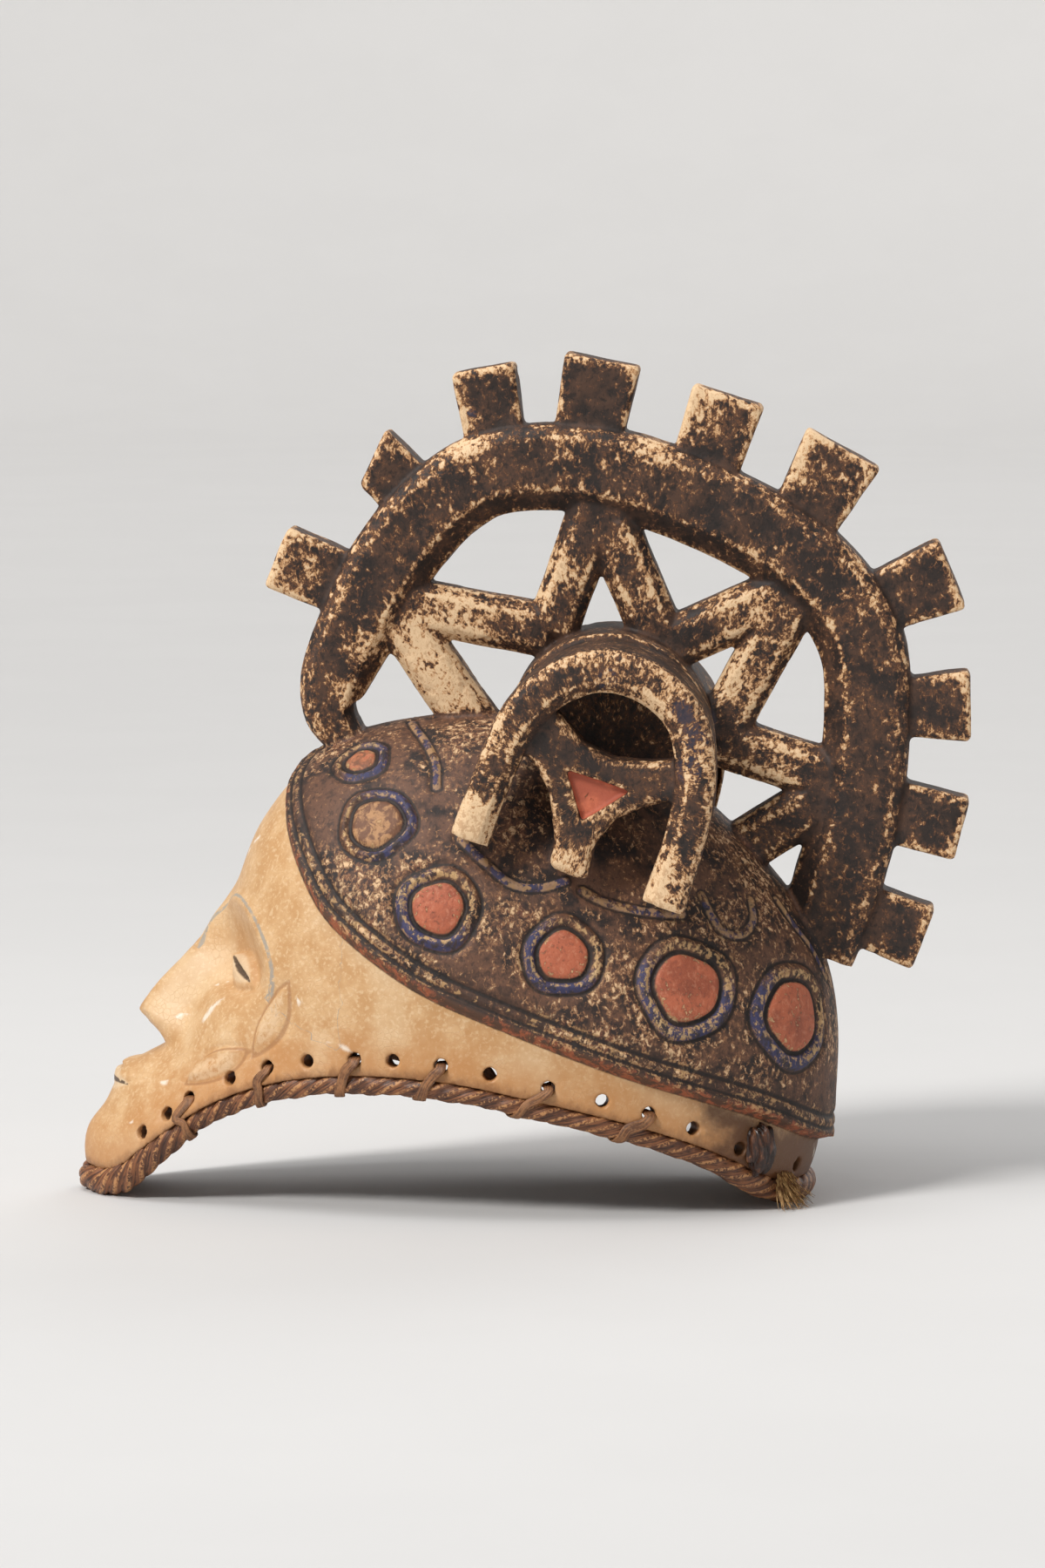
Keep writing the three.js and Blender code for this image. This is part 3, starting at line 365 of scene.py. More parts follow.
def move_points(obj, places):
    """Puts a mesh's points at places in millimetres, measured from the drawing's own middle."""
    metres = (places - np.array([MIDDLE_X, 0, 0])) / 1000
    obj.data.vertices.foreach_set("co", metres.astype(np.float32).ravel())
    obj.data.update()


def drawn_points(obj):
    return points_of(obj) * 1000 + np.array([MIDDLE_X, 0, 0])


def applied(obj, kind, **settings):
    """Adds a modifier, with its settings, and applies it."""
    pick(obj)
    modifier = obj.modifiers.new(kind.title(), kind)
    for name, value in settings.items():
        setattr(modifier, name, value)
    bpy.ops.object.modifier_apply(modifier=modifier.name)
    return obj


def cut(obj, tool, operation="DIFFERENCE"):
    applied(obj, "BOOLEAN", operation=operation, object=tool, solver="MANIFOLD")
    bpy.data.objects.remove(tool)
    return obj


def ball(name, levels):
    """A closed ball whose points are given as angles seen from the head's centre."""
    bpy.ops.mesh.primitive_uv_sphere_add(segments=HEAD_COLUMNS, ring_count=HEAD_RINGS)
    obj = bpy.context.object
    obj.name = name
    if levels:
        applied(obj, "SUBSURF", subdivision_type="SIMPLE", levels=levels, render_levels=levels)
    round_ball = unit(points_of(obj))
    along = np.degrees(np.arctan2(round_ball[:, 1], round_ball[:, 0]))
    across = -np.degrees(np.arcsin(np.clip(round_ball[:, 2], -1, 1)))
    return obj, along, across


head, along, across = ball("head", 2)
below = skin(along, across)
field = cap_fields(below)
height, _ = cap_relief(field)
lip = smooth(*CAP_LIP, field["cap_edge"])
out = lip * cap_rise(along) + height
places = skin(along, across, out, out)
face_out = np.array([-np.sin(FACE_LEAN), 0, np.cos(FACE_LEAN)])
facing = smooth(*FACE_TOP, along % 360) * smooth(*FACE_END, along % 360)
off = facing * face_relief(up_the_face(below), below[:, 1]) * (1 - lip)
move_points(head, places + off[:, None] * face_out)


# The inside is hollowed to a wall about as thick as a finger, thicker behind the face, with the marks of
# the adze left on it. The rim is an arch that stands at the chin and the nape, pierced for lacing.
WALL = [(0, 11), (90, 12), (130, 13), (155, 20), (172, 18), (192, 14), (210, 12), (270, 11)]
SIDE_WALL = 10.0
RIM_ARCH = [
    (-230, 20), (-192, 14), (-182, 11.6), (-173, 10.7), (-165, 14.2), (-157, 21), (-147, 29), (-128, 42),
    (-105, 52), (-80, 57.5), (-50, 59), (-20, 56.5), (10, 50), (40, 42.5), (70, 32.5), (90, 23),
    (103, 14.5), (112, 10.6), (122, 10), (140, 10), (200, 10),
]
RIM_MIDDLE_X = -28.0
HOLES = [-156, -145, -135, -117, -101, -84, -64, -48, -28, -8, 16, 38, 57, 75, 94, 117]
HOLE_RADIUS = 2.9
HOLE_ABOVE_RIM = 7.0
HOLE_REACH = dict(inward=26, outward=8)
BELOW_THE_RIM = [(-260, -220), (230, -220)]
ARCH_HALF_DEPTH = 140

wall = around(WALL)
arch_rows = through(RIM_ARCH, 800)


def arch_at(x):
    return np.interp(x, arch_rows[:, 0], arch_rows[:, 1])


def rim_point(degrees, inset=0.0, out=0.0, above=0.0):
    """Where the rim's line meets the wall, at angles seen from above: inset 0 outside, 1 inside."""
    degrees = np.atleast_1d(np.asarray(degrees, float))
    ux, uy = np.cos(np.radians(degrees)), np.sin(np.radians(degrees))
    low = np.full(len(degrees), 20.0)
    high = np.full(len(degrees), 230.0)
    for _ in range(40):
        t = (low + high) / 2
        x = RIM_MIDDLE_X + t * ux
        z = arch_at(x) + above
        a = np.degrees(np.arctan2(z - HEAD_Z, x - HEAD_X))
        n = fullness(a)
        reach = outline(a) - inset * wall(a) + out
        width = HEAD_HALF_WIDTH - inset * SIDE_WALL + out
        inside = (np.hypot(x - HEAD_X, z - HEAD_Z) / reach) ** n + np.abs(t * uy / width) ** n < 1
        low = np.where(inside, t, low)
        high = np.where(inside, high, t)
    x = RIM_MIDDLE_X + low * ux
    return np.column_stack([x, low * uy, arch_at(x) + above])


def rim_outward(degrees):
    step = rim_point(np.asarray(degrees) + 1) - rim_point(np.asarray(degrees) - 1)
    return unit(np.column_stack([step[:, 1], -step[:, 0], 0 * step[:, 0]]))


def lumps(points, size, seed):
    """Soft noise from -1 to 1 at points in millimetres, with lumps of a given size."""
    p = points / size + seed * 17.31
    cell = np.floor(p).astype(np.int64)
    f = p - cell
    f = f * f * (3 - 2 * f)
    total = 0
    for corner in range(8):
        step = np.array([corner & 1, corner >> 1 & 1, corner >> 2 & 1])
        c = cell + step
        h = (c[:, 0] * 73856093) ^ (c[:, 1] * 19349663) ^ (c[:, 2] * 83492791) ^ (seed * 2654435761)
        h = (h ^ (h >> 13)) * 1274126177
        value = ((h ^ (h >> 16)) & 0xFFFF) / 32767.5 - 1
        total = total + value * np.prod(np.where(step, f, 1 - f), axis=1)
    return total


def edit(obj, *steps):
    """Runs steps of editing, each on the whole of a mesh, then turns its faces outwards."""
    pick(obj)
    bpy.ops.object.mode_set(mode="EDIT")
    for step in steps:
        bpy.ops.mesh.select_all(action="SELECT")
        step()
    bpy.ops.mesh.select_all(action="SELECT")
    bpy.ops.mesh.normals_make_consistent(inside=False)
    bpy.ops.object.mode_set(mode="OBJECT")


def plate(name, corners, front, back):
    """A flat outline (x, z) given thickness along y."""
    data = bpy.data.meshes.new(name)
    data.from_pydata([(0, 0, 0)] * len(corners), [], [range(len(corners))])
    obj = bpy.data.objects.new(name, data)
    bpy.context.collection.objects.link(obj)
    move_points(obj, np.array([(x, front, z) for x, z in corners], float))
    deep = {"value": (0, (back - front) / 1000, 0)}
    edit(obj, lambda: bpy.ops.mesh.extrude_region_move(TRANSFORM_OT_translate=deep))
    return obj


def rod(name, start, stop, radius, sides=24):
    """A straight round rod between two places."""
    start, stop = (np.asarray(p, float) for p in (start, stop))
    axis = stop - start
    bpy.ops.mesh.primitive_cylinder_add(vertices=sides, radius=1, depth=1)
    obj = bpy.context.object
    obj.name = name
    local = points_of(obj)
    w = unit(axis)
    u = unit(np.cross(w, [0.13, 0.31, 0.94]))
    v = np.cross(w, u)
    flat = local[:, :1] * u * radius + local[:, 1:2] * v * radius
    move_points(obj, (start + stop) / 2 + flat + local[:, 2:] * axis)
    return obj


hollow, along, across = ball("hollow", 0)
inner = skin(along, across, -wall(along), -SIDE_WALL)
adze = 0.9 * np.abs(lumps(inner, 16, 3)) + 0.5 * lumps(inner, 7, 4)
move_points(hollow, inner + unit(inner - HEAD_CENTRE) * adze[:, None])
cut(head, hollow)

arch = [tuple(row) for row in through(RIM_ARCH, 160)[::-1]]
cut(head, plate("arch", BELOW_THE_RIM + arch, -ARCH_HALF_DEPTH, ARCH_HALF_DEPTH))


def angle_of_hole(x):
    """The angle, on the near side, at which the row of holes has come to this x."""
    angles = np.linspace(180.5, 359.5, 1800)
    return np.interp(x, rim_point(angles, above=HOLE_ABOVE_RIM)[:, 0], angles)


hole_angles = np.array([angle_of_hole(x) for x in HOLES])
drills = []
for angle in np.concatenate([hole_angles, 360 - hole_angles]):
    mouth = rim_point(angle, above=HOLE_ABOVE_RIM)[0]
    outward = rim_outward([angle])[0]
    start, stop = mouth - HOLE_REACH["inward"] * outward, mouth + HOLE_REACH["outward"] * outward
    drills.append(rod("drill", start, stop, HOLE_RADIUS))
pick(*drills)
bpy.ops.object.join()
cut(head, drills[0])


# The crest: a hoop of flat section with bevelled edges that stands along the middle of the head, ten
# pegs on it, and a zigzag star inside it. All is cut through from the same block of wood.
CREST_EDGE = [
    (-74, 182, 14), (-88, 197, 24), (-91, 216, 29), (-83, 244, 34), (-58.4, 288, 36), (-22.5, 316.7, 35),
    (26, 322.5, 36), (78, 308.5, 36.5), (131.8, 278, 36), (159.5, 237.6, 36), (161, 173, 36),
    (150.7, 127.3, 37), (139, 97, 35),
]
CREST_HALF_THICKNESS = 16.0
CREST_CENTRE = (37.0, 178.5)
PEGS = [
    dict(at=145.4, lean=3, reach=26, tip=27, foot=26, slant=0),
    dict(at=126, lean=0, reach=16, tip=24.5, foot=25, slant=-9),
    dict(at=108.7, lean=-3, reach=26, tip=26.5, foot=24.5, slant=0),
    dict(at=93, lean=-5, reach=28, tip=32, foot=28, slant=0),
    dict(at=72.4, lean=4, reach=28, tip=31, foot=28, slant=0),
    dict(at=52.5, lean=5, reach=30, tip=35, foot=27, slant=0),
    dict(at=31.7, lean=-6, reach=28, tip=31, foot=24.5, slant=0),
    dict(at=12.2, lean=2, reach=24.5, tip=29.5, foot=23, slant=0),
    dict(at=-8.1, lean=-4, reach=26, tip=26.5, foot=26.5, slant=0),
    dict(at=-29, lean=0, reach=23, tip=27.5, foot=25.5, slant=0),
]
PEG_HALF_THICKNESS = 10.5
STAR = [
    (-14, 190), (-54.4, 248.6), (13.4, 236.3), (33.3, 292.2), (59.6, 229.5), (116.7, 255.3), (81.8, 191.5),
    (137.3, 173.7), (72, 133),
]
STAR_BREADTH = 22.0
STAR_HALF_THICKNESS = 12.5


def lofted(name, rings, closed=False, ends=0, **kept):
    """A solid from a grid laid over rings of places: its seam is merged and its ends are filled.

    With ends at 1 they stay open. Values given for each place, such as a height, are kept on its points."""
    def whole(values):
        values = np.asarray(values, float)
        if closed:
            values = np.concatenate([values, values[:1]])
        return np.concatenate([values, values[:, :1]], axis=1)

    rings = whole(rings)
    rows, columns = rings.shape[:2]
    bpy.ops.mesh.primitive_grid_add(x_subdivisions=columns - 1, y_subdivisions=rows - 1, size=2)
    obj = bpy.context.object
    obj.name = name
    grid = points_of(obj)
    column = np.rint((grid[:, 0] + 1) / 2 * (columns - 1)).astype(int)
    row = np.rint((grid[:, 1] + 1) / 2 * (rows - 1)).astype(int)
    move_points(obj, rings[row, column])
    for value_name, values in kept.items():
        keep(obj, value_name, whole(values)[row, column])
    steps = [lambda: bpy.ops.mesh.remove_doubles(threshold=1e-6)]
    if not closed:
        steps.append(lambda: bpy.ops.mesh.fill_holes(sides=ends))
    edit(obj, *steps)
    return obj


def keep(obj, name, values):
    """Keeps a value for each point of a mesh, for its material."""
    layer = obj.data.attributes.new(name, "FLOAT", "POINT")
    layer.data.foreach_set("value", np.asarray(values, np.float32))


def finer(corners, parts=5):
    """A closed section with each of its sides divided."""
    c = np.asarray(corners, float)
    steps = np.arange(parts)[:, None] / parts
    return np.vstack([a + (b - a) * steps for a, b in zip(c, np.roll(c, -1, axis=0))])


def hoop():
    rows, normals = drawn_curve(CREST_EDGE, 220)
    rings = []
    for (x, z, breadth), (nx, nz) in zip(rows, normals):
        t = CREST_HALF_THICKNESS
        inner = min(9, breadth / 4)
        section = finer([
            (0, 5.5 - t), (-1.6, 2.2 - t), (-5.5, -t), (inner - breadth, -t), (-breadth, 7 - t),
            (-breadth, t - 7), (inner - breadth, t), (-5.5, t), (-1.6, t - 2.2), (0, t - 5.5),
        ])
        rings.append([(x + r * nx, y, z + r * nz) for r, y in section])
    return lofted("hoop", rings)


def crest_edge_at(degrees):
    rows, normals = drawn_curve(CREST_EDGE, 600)
    angle = np.degrees(np.arctan2(rows[:, 1] - CREST_CENTRE[1], rows[:, 0] - CREST_CENTRE[0]))
    i = np.argmin(np.abs(angle - degrees))
    return rows[i, :2], normals[i]


def block(name, near_corners, half_foot, half_tip, rounding, segments):
    """A bar with rounded edges: four corners (x, z), two at its foot and two at its tip."""
    bpy.ops.mesh.primitive_cube_add(size=2)
    obj = bpy.context.object
    obj.name = name
    cube = points_of(obj)
    foot_left, foot_right, tip_right, tip_left = (np.array(c, float) for c in near_corners)
    places = []
    for u, y, w in cube:
        left, right = (foot_left, foot_right) if w < 0 else (tip_left, tip_right)
        x, z = (left + right) / 2 + u * (right - left) / 2
        places.append((x, y * (half_foot if w < 0 else half_tip), z))
    move_points(obj, np.array(places))
    edit(obj)
    applied(obj, "BEVEL", width=rounding / 1000, segments=segments, limit_method="NONE")
    return obj


def peg(at, lean, reach, tip, foot, slant):
    edge, normal = crest_edge_at(at)
    direction = np.arctan2(normal[1], normal[0]) + np.radians(lean)
    out = np.array([np.cos(direction), np.sin(direction)])
    side = np.array([-out[1], out[0]])
    corners = [
        edge - 9 * out - side * foot / 2, edge - 9 * out + side * foot / 2,
        edge + (reach + slant / 2) * out + side * tip / 2, edge + (reach - slant / 2) * out - side * tip / 2,
    ]
    return block("peg", corners, PEG_HALF_THICKNESS, PEG_HALF_THICKNESS + 2, 1.8, 2)


def star_bars():
    for (x0, z0), (x1, z1) in zip(STAR, STAR[1:]):
        start, stop = np.array([x0, z0], float), np.array([x1, z1], float)
        along_bar = unit(stop - start)
        side = np.array([-along_bar[1], along_bar[0]]) * STAR_BREADTH / 2
        start, stop = start - 3 * along_bar, stop + 3 * along_bar
        corners = [start - side, start + side, stop + side, stop - side]
        yield block("star_bar", corners, STAR_HALF_THICKNESS, STAR_HALF_THICKNESS, 4.6, 1)


crest = [hoop(), *[peg(**form) for form in PEGS], *star_bars()]


# The drum on the crest's foot, and on each side of it a hanging loop with a forked bracket inside. Both
# loops are free of the head below. A small triangle is sunk in each bracket and painted red.
DRUM = dict(x=38.0, z=195.0, radius=43.0, half_length=38.0, bevel=3.5)
LOOP = [
    (-16.3, 157.5, 16, 72), (-6.5, 184, 16, 69), (5, 208, 17, 50), (20, 221.5, 17.5, 34),
    (38, 226.8, 18, 30), (57, 221.5, 17.5, 34), (71.5, 207.5, 17, 50), (76, 184, 16.5, 66),
    (72, 160, 17, 70), (62.5, 130.5, 18, 71),
]
LOOP_FRONT = 90.0
FAR_LOOP_DROP = 4.0
BRACKET = [
    (-1, 199, 0), (5, 207, 0), (12, 214, 0), (21, 208, 0), (29.5, 197.5, 0), (42, 190.7, 0), (58, 189.4, 0),
    (76, 190.9, 0), (73, 174.5, 0), (55, 171, 0), (43.5, 166, 0), (35, 155.7, 0), (31.5, 140.5, 0),
    (16, 146.5, 0), (18.4, 156, 0), (17.7, 165, 0), (16, 177, 0), (9.5, 189, 0),
]
BRACKET_FRONT = 84.0
BRACKET_BACK = 62.0
TRIANGLE = [(23, 186.5), (49, 177.5), (29.5, 165.5)]
PAINTED_TRIANGLE = [(22, 187.5), (50.5, 177.8), (29.3, 164.2)]
TRIANGLE_DEPTH = 4.0


def drum():
    x, z, reach = DRUM["x"], DRUM["z"], DRUM["half_length"]
    obj = rod("drum", (x, -reach, z), (x, reach, z), DRUM["radius"], 96)
    applied(obj, "BEVEL", width=DRUM["bevel"] / 1000, segments=3, limit_method="ANGLE")
    return obj


def hanging_loop(side):
    rows, normals = drawn_curve(LOOP, 110)
    drop = FAR_LOOP_DROP if side > 0 else 0
    rings = []
    for (x, z, width, back), (nx, nz) in zip(rows, normals):
        half = width / 2
        section = finer([
            (-half, 4.5 - LOOP_FRONT), (4.5 - half, -LOOP_FRONT), (half - 3.6, -LOOP_FRONT),
            (half - 0.8, 1.4 - LOOP_FRONT), (half, 4.5 - LOOP_FRONT), (half, 2 - back), (half - 2, -back),
            (2 - half, -back), (-half, 2 - back),
        ], 4)
        rings.append([(x + r * nx, -side * y, z + r * nz - drop) for r, y in section])
    fronts = sorted((side * BRACKET_FRONT, side * BRACKET_BACK))
    fork = plate("bracket", [(x, z - drop) for x, z, _ in BRACKET], *fronts)
    applied(fork, "BEVEL", width=0.003, segments=3, limit_method="ANGLE", angle_limit=np.radians(60))
    floor = side * (BRACKET_FRONT - TRIANGLE_DEPTH)
    mouth = side * (BRACKET_FRONT + 10)
    cut(fork, plate("triangle", [(x, z - drop) for x, z in TRIANGLE], *sorted((floor, mouth))))
    return [lofted("loop", rings), fork]


crest += [drum(), *hanging_loop(-1), *hanging_loop(1)]


# All of that is one block: the forms are run together, their arrises are softened by the knife and by
# handling, and the whole surface keeps small flats and chips.
VOXEL = 0.0009
MOST_TRIANGLES = 194000
SOFTENED_REACH = 0.0034
SOFTEN_ROUNDS = round((SOFTENED_REACH / VOXEL) ** 2)
SOFTENED_SHARE = 0.10
FLAT_HEIGHT = 0.32
CHIP_DEPTH = 1.1


def normals_of(obj):
    normals = np.empty(3 * len(obj.data.vertices), np.float32)
    obj.data.vertices.foreach_get("normal", normals)
    return normals.reshape(-1, 3).astype(float)


pick(head, *crest)
bpy.ops.object.join()
wood = applied(bpy.context.object, "REMESH", mode="VOXEL", voxel_size=VOXEL)
wood.name = "painted_wood"

ends = np.empty(2 * len(wood.data.edges), np.int32)
wood.data.edges.foreach_get("vertices", ends)
ends = ends.reshape(-1, 2).T
count = np.bincount(ends.ravel(), minlength=len(wood.data.vertices)).astype(float)
normal = normals_of(wood)
places = drawn_points(wood)
ironed = places.copy()
for _ in range(SOFTEN_ROUNDS):
    total = np.zeros_like(ironed)
    for a, b in (ends, ends[::-1]):
        for column in range(3):
            total[:, column] += np.bincount(a, ironed[b, column], len(ironed))
    ironed = total / count[:, None]
sharp = np.einsum("ij,ij->i", places - ironed, normal)

_, above = skin_below(places)
on_crest = smooth(1.0, 6.0, above - 5)
chips = np.clip(lumps(places, 5, 11) + 0.6 * lumps(places, 2.4, 12) - 0.35, 0, 1)
flats = FLAT_HEIGHT * lumps(places, 13, 7) + 0.10 * lumps(places, 4.5, 8)
rough = flats * (0.35 + 0.65 * on_crest) - CHIP_DEPTH * chips * np.clip(sharp / 0.5, 0, 1) * on_crest
worked = places + normal * (rough * smooth(-6, -2, above))[:, None]
move_points(wood, worked + (ironed - places) * (SOFTENED_SHARE * on_crest)[:, None])
keep(wood, "sharp", sharp)
triangles = 2 * len(wood.data.polygons)
applied(wood, "DECIMATE", ratio=min(1, MOST_TRIANGLES / triangles))
pick(wood)
bpy.ops.object.shade_smooth()


# Its paint: ochre on the face, dark brown on the cap, near black on the crest, worn through to pale
# wood on the arrises. What the brush and the wear go by is kept on the mesh, in millimetres.
WORN = [
    (-42, 232, 15, 0.95), (-28, 208, 13, 1.0), (-72, 212, 6, 0.6), (-67, 232, 6, 0.5), (-20, 244, 15, 0.6),
    (20, 262, 9, 0.7), (8, 250, 8, 0.6), (43, 272, 8, 0.55), (96, 243, 16, 0.5), (92, 216, 12, 0.7),
    (50, 252, 9, 0.45), (-13, 168, 9, 0.85), (-17, 160, 7, 0.9), (63, 142, 9, 0.8), (58, 133, 7, 0.8),
    (60, 214, 8, 0.9), (24, 150, 6, 0.7), (8, 172, 8, 0.55), (72, 332, 11, 0.7), (116, 324, 13, 0.8),
    (118, 300, 8, 0.5), (-118, 246, 16, 0.6), (-24, 318, 10, 0.7), (56, 314, 12, 0.5), (110, 182, 16, 0.45),
    (140, 250, 14, 0.2), (90, 158, 10, 0.35), (38, 219, 16, 0.35), (28, 307, 20, 0.25), (-92, 262, 14, 0.35),
    (138, 300, 8, 0.4), (31, 336, 13, -0.4), (83, 318, 10, 0.25),
    (0, 200, 9, 0.45), (76, 190, 9, 0.4),
]
SCRAPES = [
    (151, 12, 4.5, 2.4, 12), (158, 18, 6, 1.8, 40), (88, 33, 11, 2.2, 68), (97, 21, 5, 1.3, 60),
    (52, 30, 4, 1.8, 30), (34, 19, 3.4, 1.6, 75), (78, 14, 3, 2.2, 20), (30, 27, 3, 1.3, 60),
]
SIDE_SCRAPES = [(-72, 71, 9, 1.5, -12), (-60, 66, 6, 1.1, -22), (-88, 88, 5, 1.2, 30)]
HUB_RADIUS = 110.0
BLUE_TOUCHES = [(73, 186, 7, 1), (76, 200, 8, 1), (-22, 326, 6, 1), (40, 224, 7, 1), (70, 212, 6, 1)]
# Where the eye sockets are painted browner: painted shade in their hollows.
SOCKET_SHADE = dict(out=1, up=113, across=29, tall=15, wide=19, power=2)


def streak(u, v, u0, v0, long, wide, turn):
    """A soft long mark at u0, v0, turned by some degrees."""
    c, s = np.cos(np.radians(turn)), np.sin(np.radians(turn))
    a = (v - v0) * c + (u - u0) * s
    b = (u - u0) * c - (v - v0) * s
    return bump(np.hypot(a / long, b / wide) ** 1.5)


def touches(spots):
    """Soft round spots, each (x, z, radius, strength) in side view, alike on both sides."""
    return sum(k * bump(np.hypot(places[:, 0] - x, level - z) / r) for x, z, r, k in spots)


places = drawn_points(wood)
below, above = skin_below(places)
field = cap_fields(below)
_, field["groove"] = cap_relief(field)
for name in CAP_FIELDS:
    keep(wood, name, field[name])
up, v = up_the_face(below), np.abs(below[:, 1])
low_side = FAR_LOOP_DROP * (places[:, 1] > 30)
level = places[:, 2] + low_side
from_middle = np.degrees(np.arctan2(places[:, 2] - HEAD_Z, places[:, 0] - HEAD_X))
cap_top = cap_rise(from_middle) * (field["cap_edge"] > 0)
low_in_front = (places[:, 0] < -30) & (places[:, 2] < 172)
over_the_cap = np.clip(above - cap_top - 2.2, -12, 12)
keep(wood, "crest", np.where(low_in_front | (places[:, 2] < 85), -12, over_the_cap))
from_hub = places[:, [0, 2]] - np.array(CREST_CENTRE)
keep(wood, "reach", np.linalg.norm(from_hub, axis=1))
keep(wood, "around", HUB_RADIUS * np.arctan2(from_hub[:, 1], from_hub[:, 0]))
inward = np.einsum("ij,ij->i", normals_of(wood), unit(HEAD_CENTRE - places))
keep(wood, "inside", np.where(above < -2.5, 8 * inward, -12))
keep(wood, "rim", np.clip(places[:, 2] - arch_at(places[:, 0]), -5, 60))
keep(wood, "worn", touches(WORN))
scrape = sum(streak(up, v, *form) for form in SCRAPES)
scrape = scrape + sum(streak(places[:, 2], places[:, 0], z, x, *form) for x, z, *form in SIDE_SCRAPES)
keep(wood, "scrape", scrape * (field["cap_edge"] < -2))
front = (up > 20) & (below[:, 0] < -70)
keep(wood, "brow", np.where(front & (up > 104), (reach_of(BROW, up, v) - 1.07) * BROW["tall"], -9))
slit = np.maximum(inside_leaf(up, v, EYE, 0.26), inside_leaf(up, v, MOUTH, 0.24))
keep(wood, "slit", np.where(front, slit, -9))
keep(wood, "lid", np.where(front, np.maximum(inside_leaf(up, v, EYE), inside_leaf(up, v, MOUTH)), -9))
# Painted shade in the eye sockets, for the face's colour.
keep(wood, "socket", np.where(front, hill(SOCKET_SHADE, up, v), 0))
leaf = np.maximum(*[inside_leaf(up, v, scar) for scar in SCARS])
keep(wood, "leaf", np.where(below[:, 0] < -60, leaf, -9))
depth = np.abs(np.abs(places[:, 1]) - (BRACKET_FRONT - TRIANGLE_DEPTH))
in_triangle = inside_polygon(places[:, 0], level, PAINTED_TRIANGLE)
keep(wood, "triangle", in_triangle * (depth < 2.2))
keep(wood, "blue", touches(BLUE_TOUCHES))


class Paint:
    """A value or colour in a material, so that sums on it read as sums."""

    def __init__(self, tree, socket=None):
        self.tree = tree
        self.socket = socket

    def node(self, kind, sockets=(), output=0, **settings):
        """Any node: its settings, then the values or links of its sockets by name or number."""
        made = self.tree.nodes.new(kind)
        for name, value in settings.items():
            setattr(made, name, value)
        for name, value in dict(sockets).items():
            if isinstance(value, Paint):
                self.tree.links.new(value.socket, made.inputs[name])
            else:
                made.inputs[name].default_value = value
        return Paint(self.tree, made.outputs[output])

    def sum(self, operation, *values):
        return self.node("ShaderNodeMath", dict(enumerate(values)), operation=operation)

    def __add__(self, other):
        return self.sum("ADD", self, other)

    def __mul__(self, other):
        return self.sum("MULTIPLY", self, other)

    def __sub__(self, other):
        return self.sum("SUBTRACT", self, other)

    def __rsub__(self, other):
        return self.sum("SUBTRACT", other, self)

    __radd__ = __add__
    __rmul__ = __mul__

    def step(self, low, high):
        """0 below low, 1 above high, and smooth between; low may be the larger."""
        sockets = {"Value": self, "From Min": min(low, high), "From Max": max(low, high)}
        if low > high:
            sockets.update({"To Min": 1.0, "To Max": 0.0})
        return self.node("ShaderNodeMapRange", sockets, interpolation_type="SMOOTHSTEP")

    def place(self):
        return self.node("ShaderNodeTexCoord", output="Object")

    def kept(self, name):
        """A value that was kept on the mesh's points."""
        return self.node("ShaderNodeAttribute", output="Fac", attribute_name=name)

    def noise(self, size, detail=4.0, rough=0.55, stretch=(1, 1, 1), warp=0.0):
        """Noise whose lumps are this many millimetres."""
        at = self.node("ShaderNodeMapping", {"Vector": self.place(), "Scale": stretch})
        return at.noise_here(1000 / size, detail, rough, warp)

    def noise_here(self, scale, detail, rough=0.5, warp=0.0):
        """Noise read at this vector."""
        sockets = {"Vector": self, "Scale": scale, "Detail": detail, "Roughness": rough, "Distortion": warp}
        return self.node("ShaderNodeTexNoise", sockets, output="Fac")

    def over(self, under, mask):
        """This colour laid over another where the mask is 1."""
        return mask.node("ShaderNodeMix", {0: mask, 6: under, 7: self}, output=2, data_type="RGBA")

    def coated(self, *coats):
        """This colour under coats of paint, each a colour and where it lies."""
        colour = self
        for coat, mask in coats:
            colour = coat.over(colour, mask)
        return colour


class Tone(tuple):
    """A fixed colour, made from its red, green and blue as they look, 0 to 255."""

    def __new__(cls, *shares):
        shares = [share / 255 for share in shares]
        linear = [s / 12.92 if s <= 0.04045 else ((s + 0.055) / 1.055) ** 2.4 for s in shares]
        return super().__new__(cls, (*linear, 1.0))

    over = Paint.over
    coated = Paint.coated


def material(name):
    made = bpy.data.materials.new(name)
    made.use_nodes = True
    surface = made.node_tree.nodes["Principled BSDF"]
    return made, Paint(made.node_tree), surface


def finish(start, surface, colour, roughness, height, depth):
    """Joins the worked-out colour, roughness and relief to the surface."""
    tree = start.tree
    tree.links.new(colour.socket, surface.inputs["Base Color"])
    tree.links.new(roughness.socket, surface.inputs["Roughness"])
    raised = start.node("ShaderNodeBump", {"Height": height, "Distance": depth, "Strength": 1.0})
    tree.links.new(raised.socket, surface.inputs["Normal"])


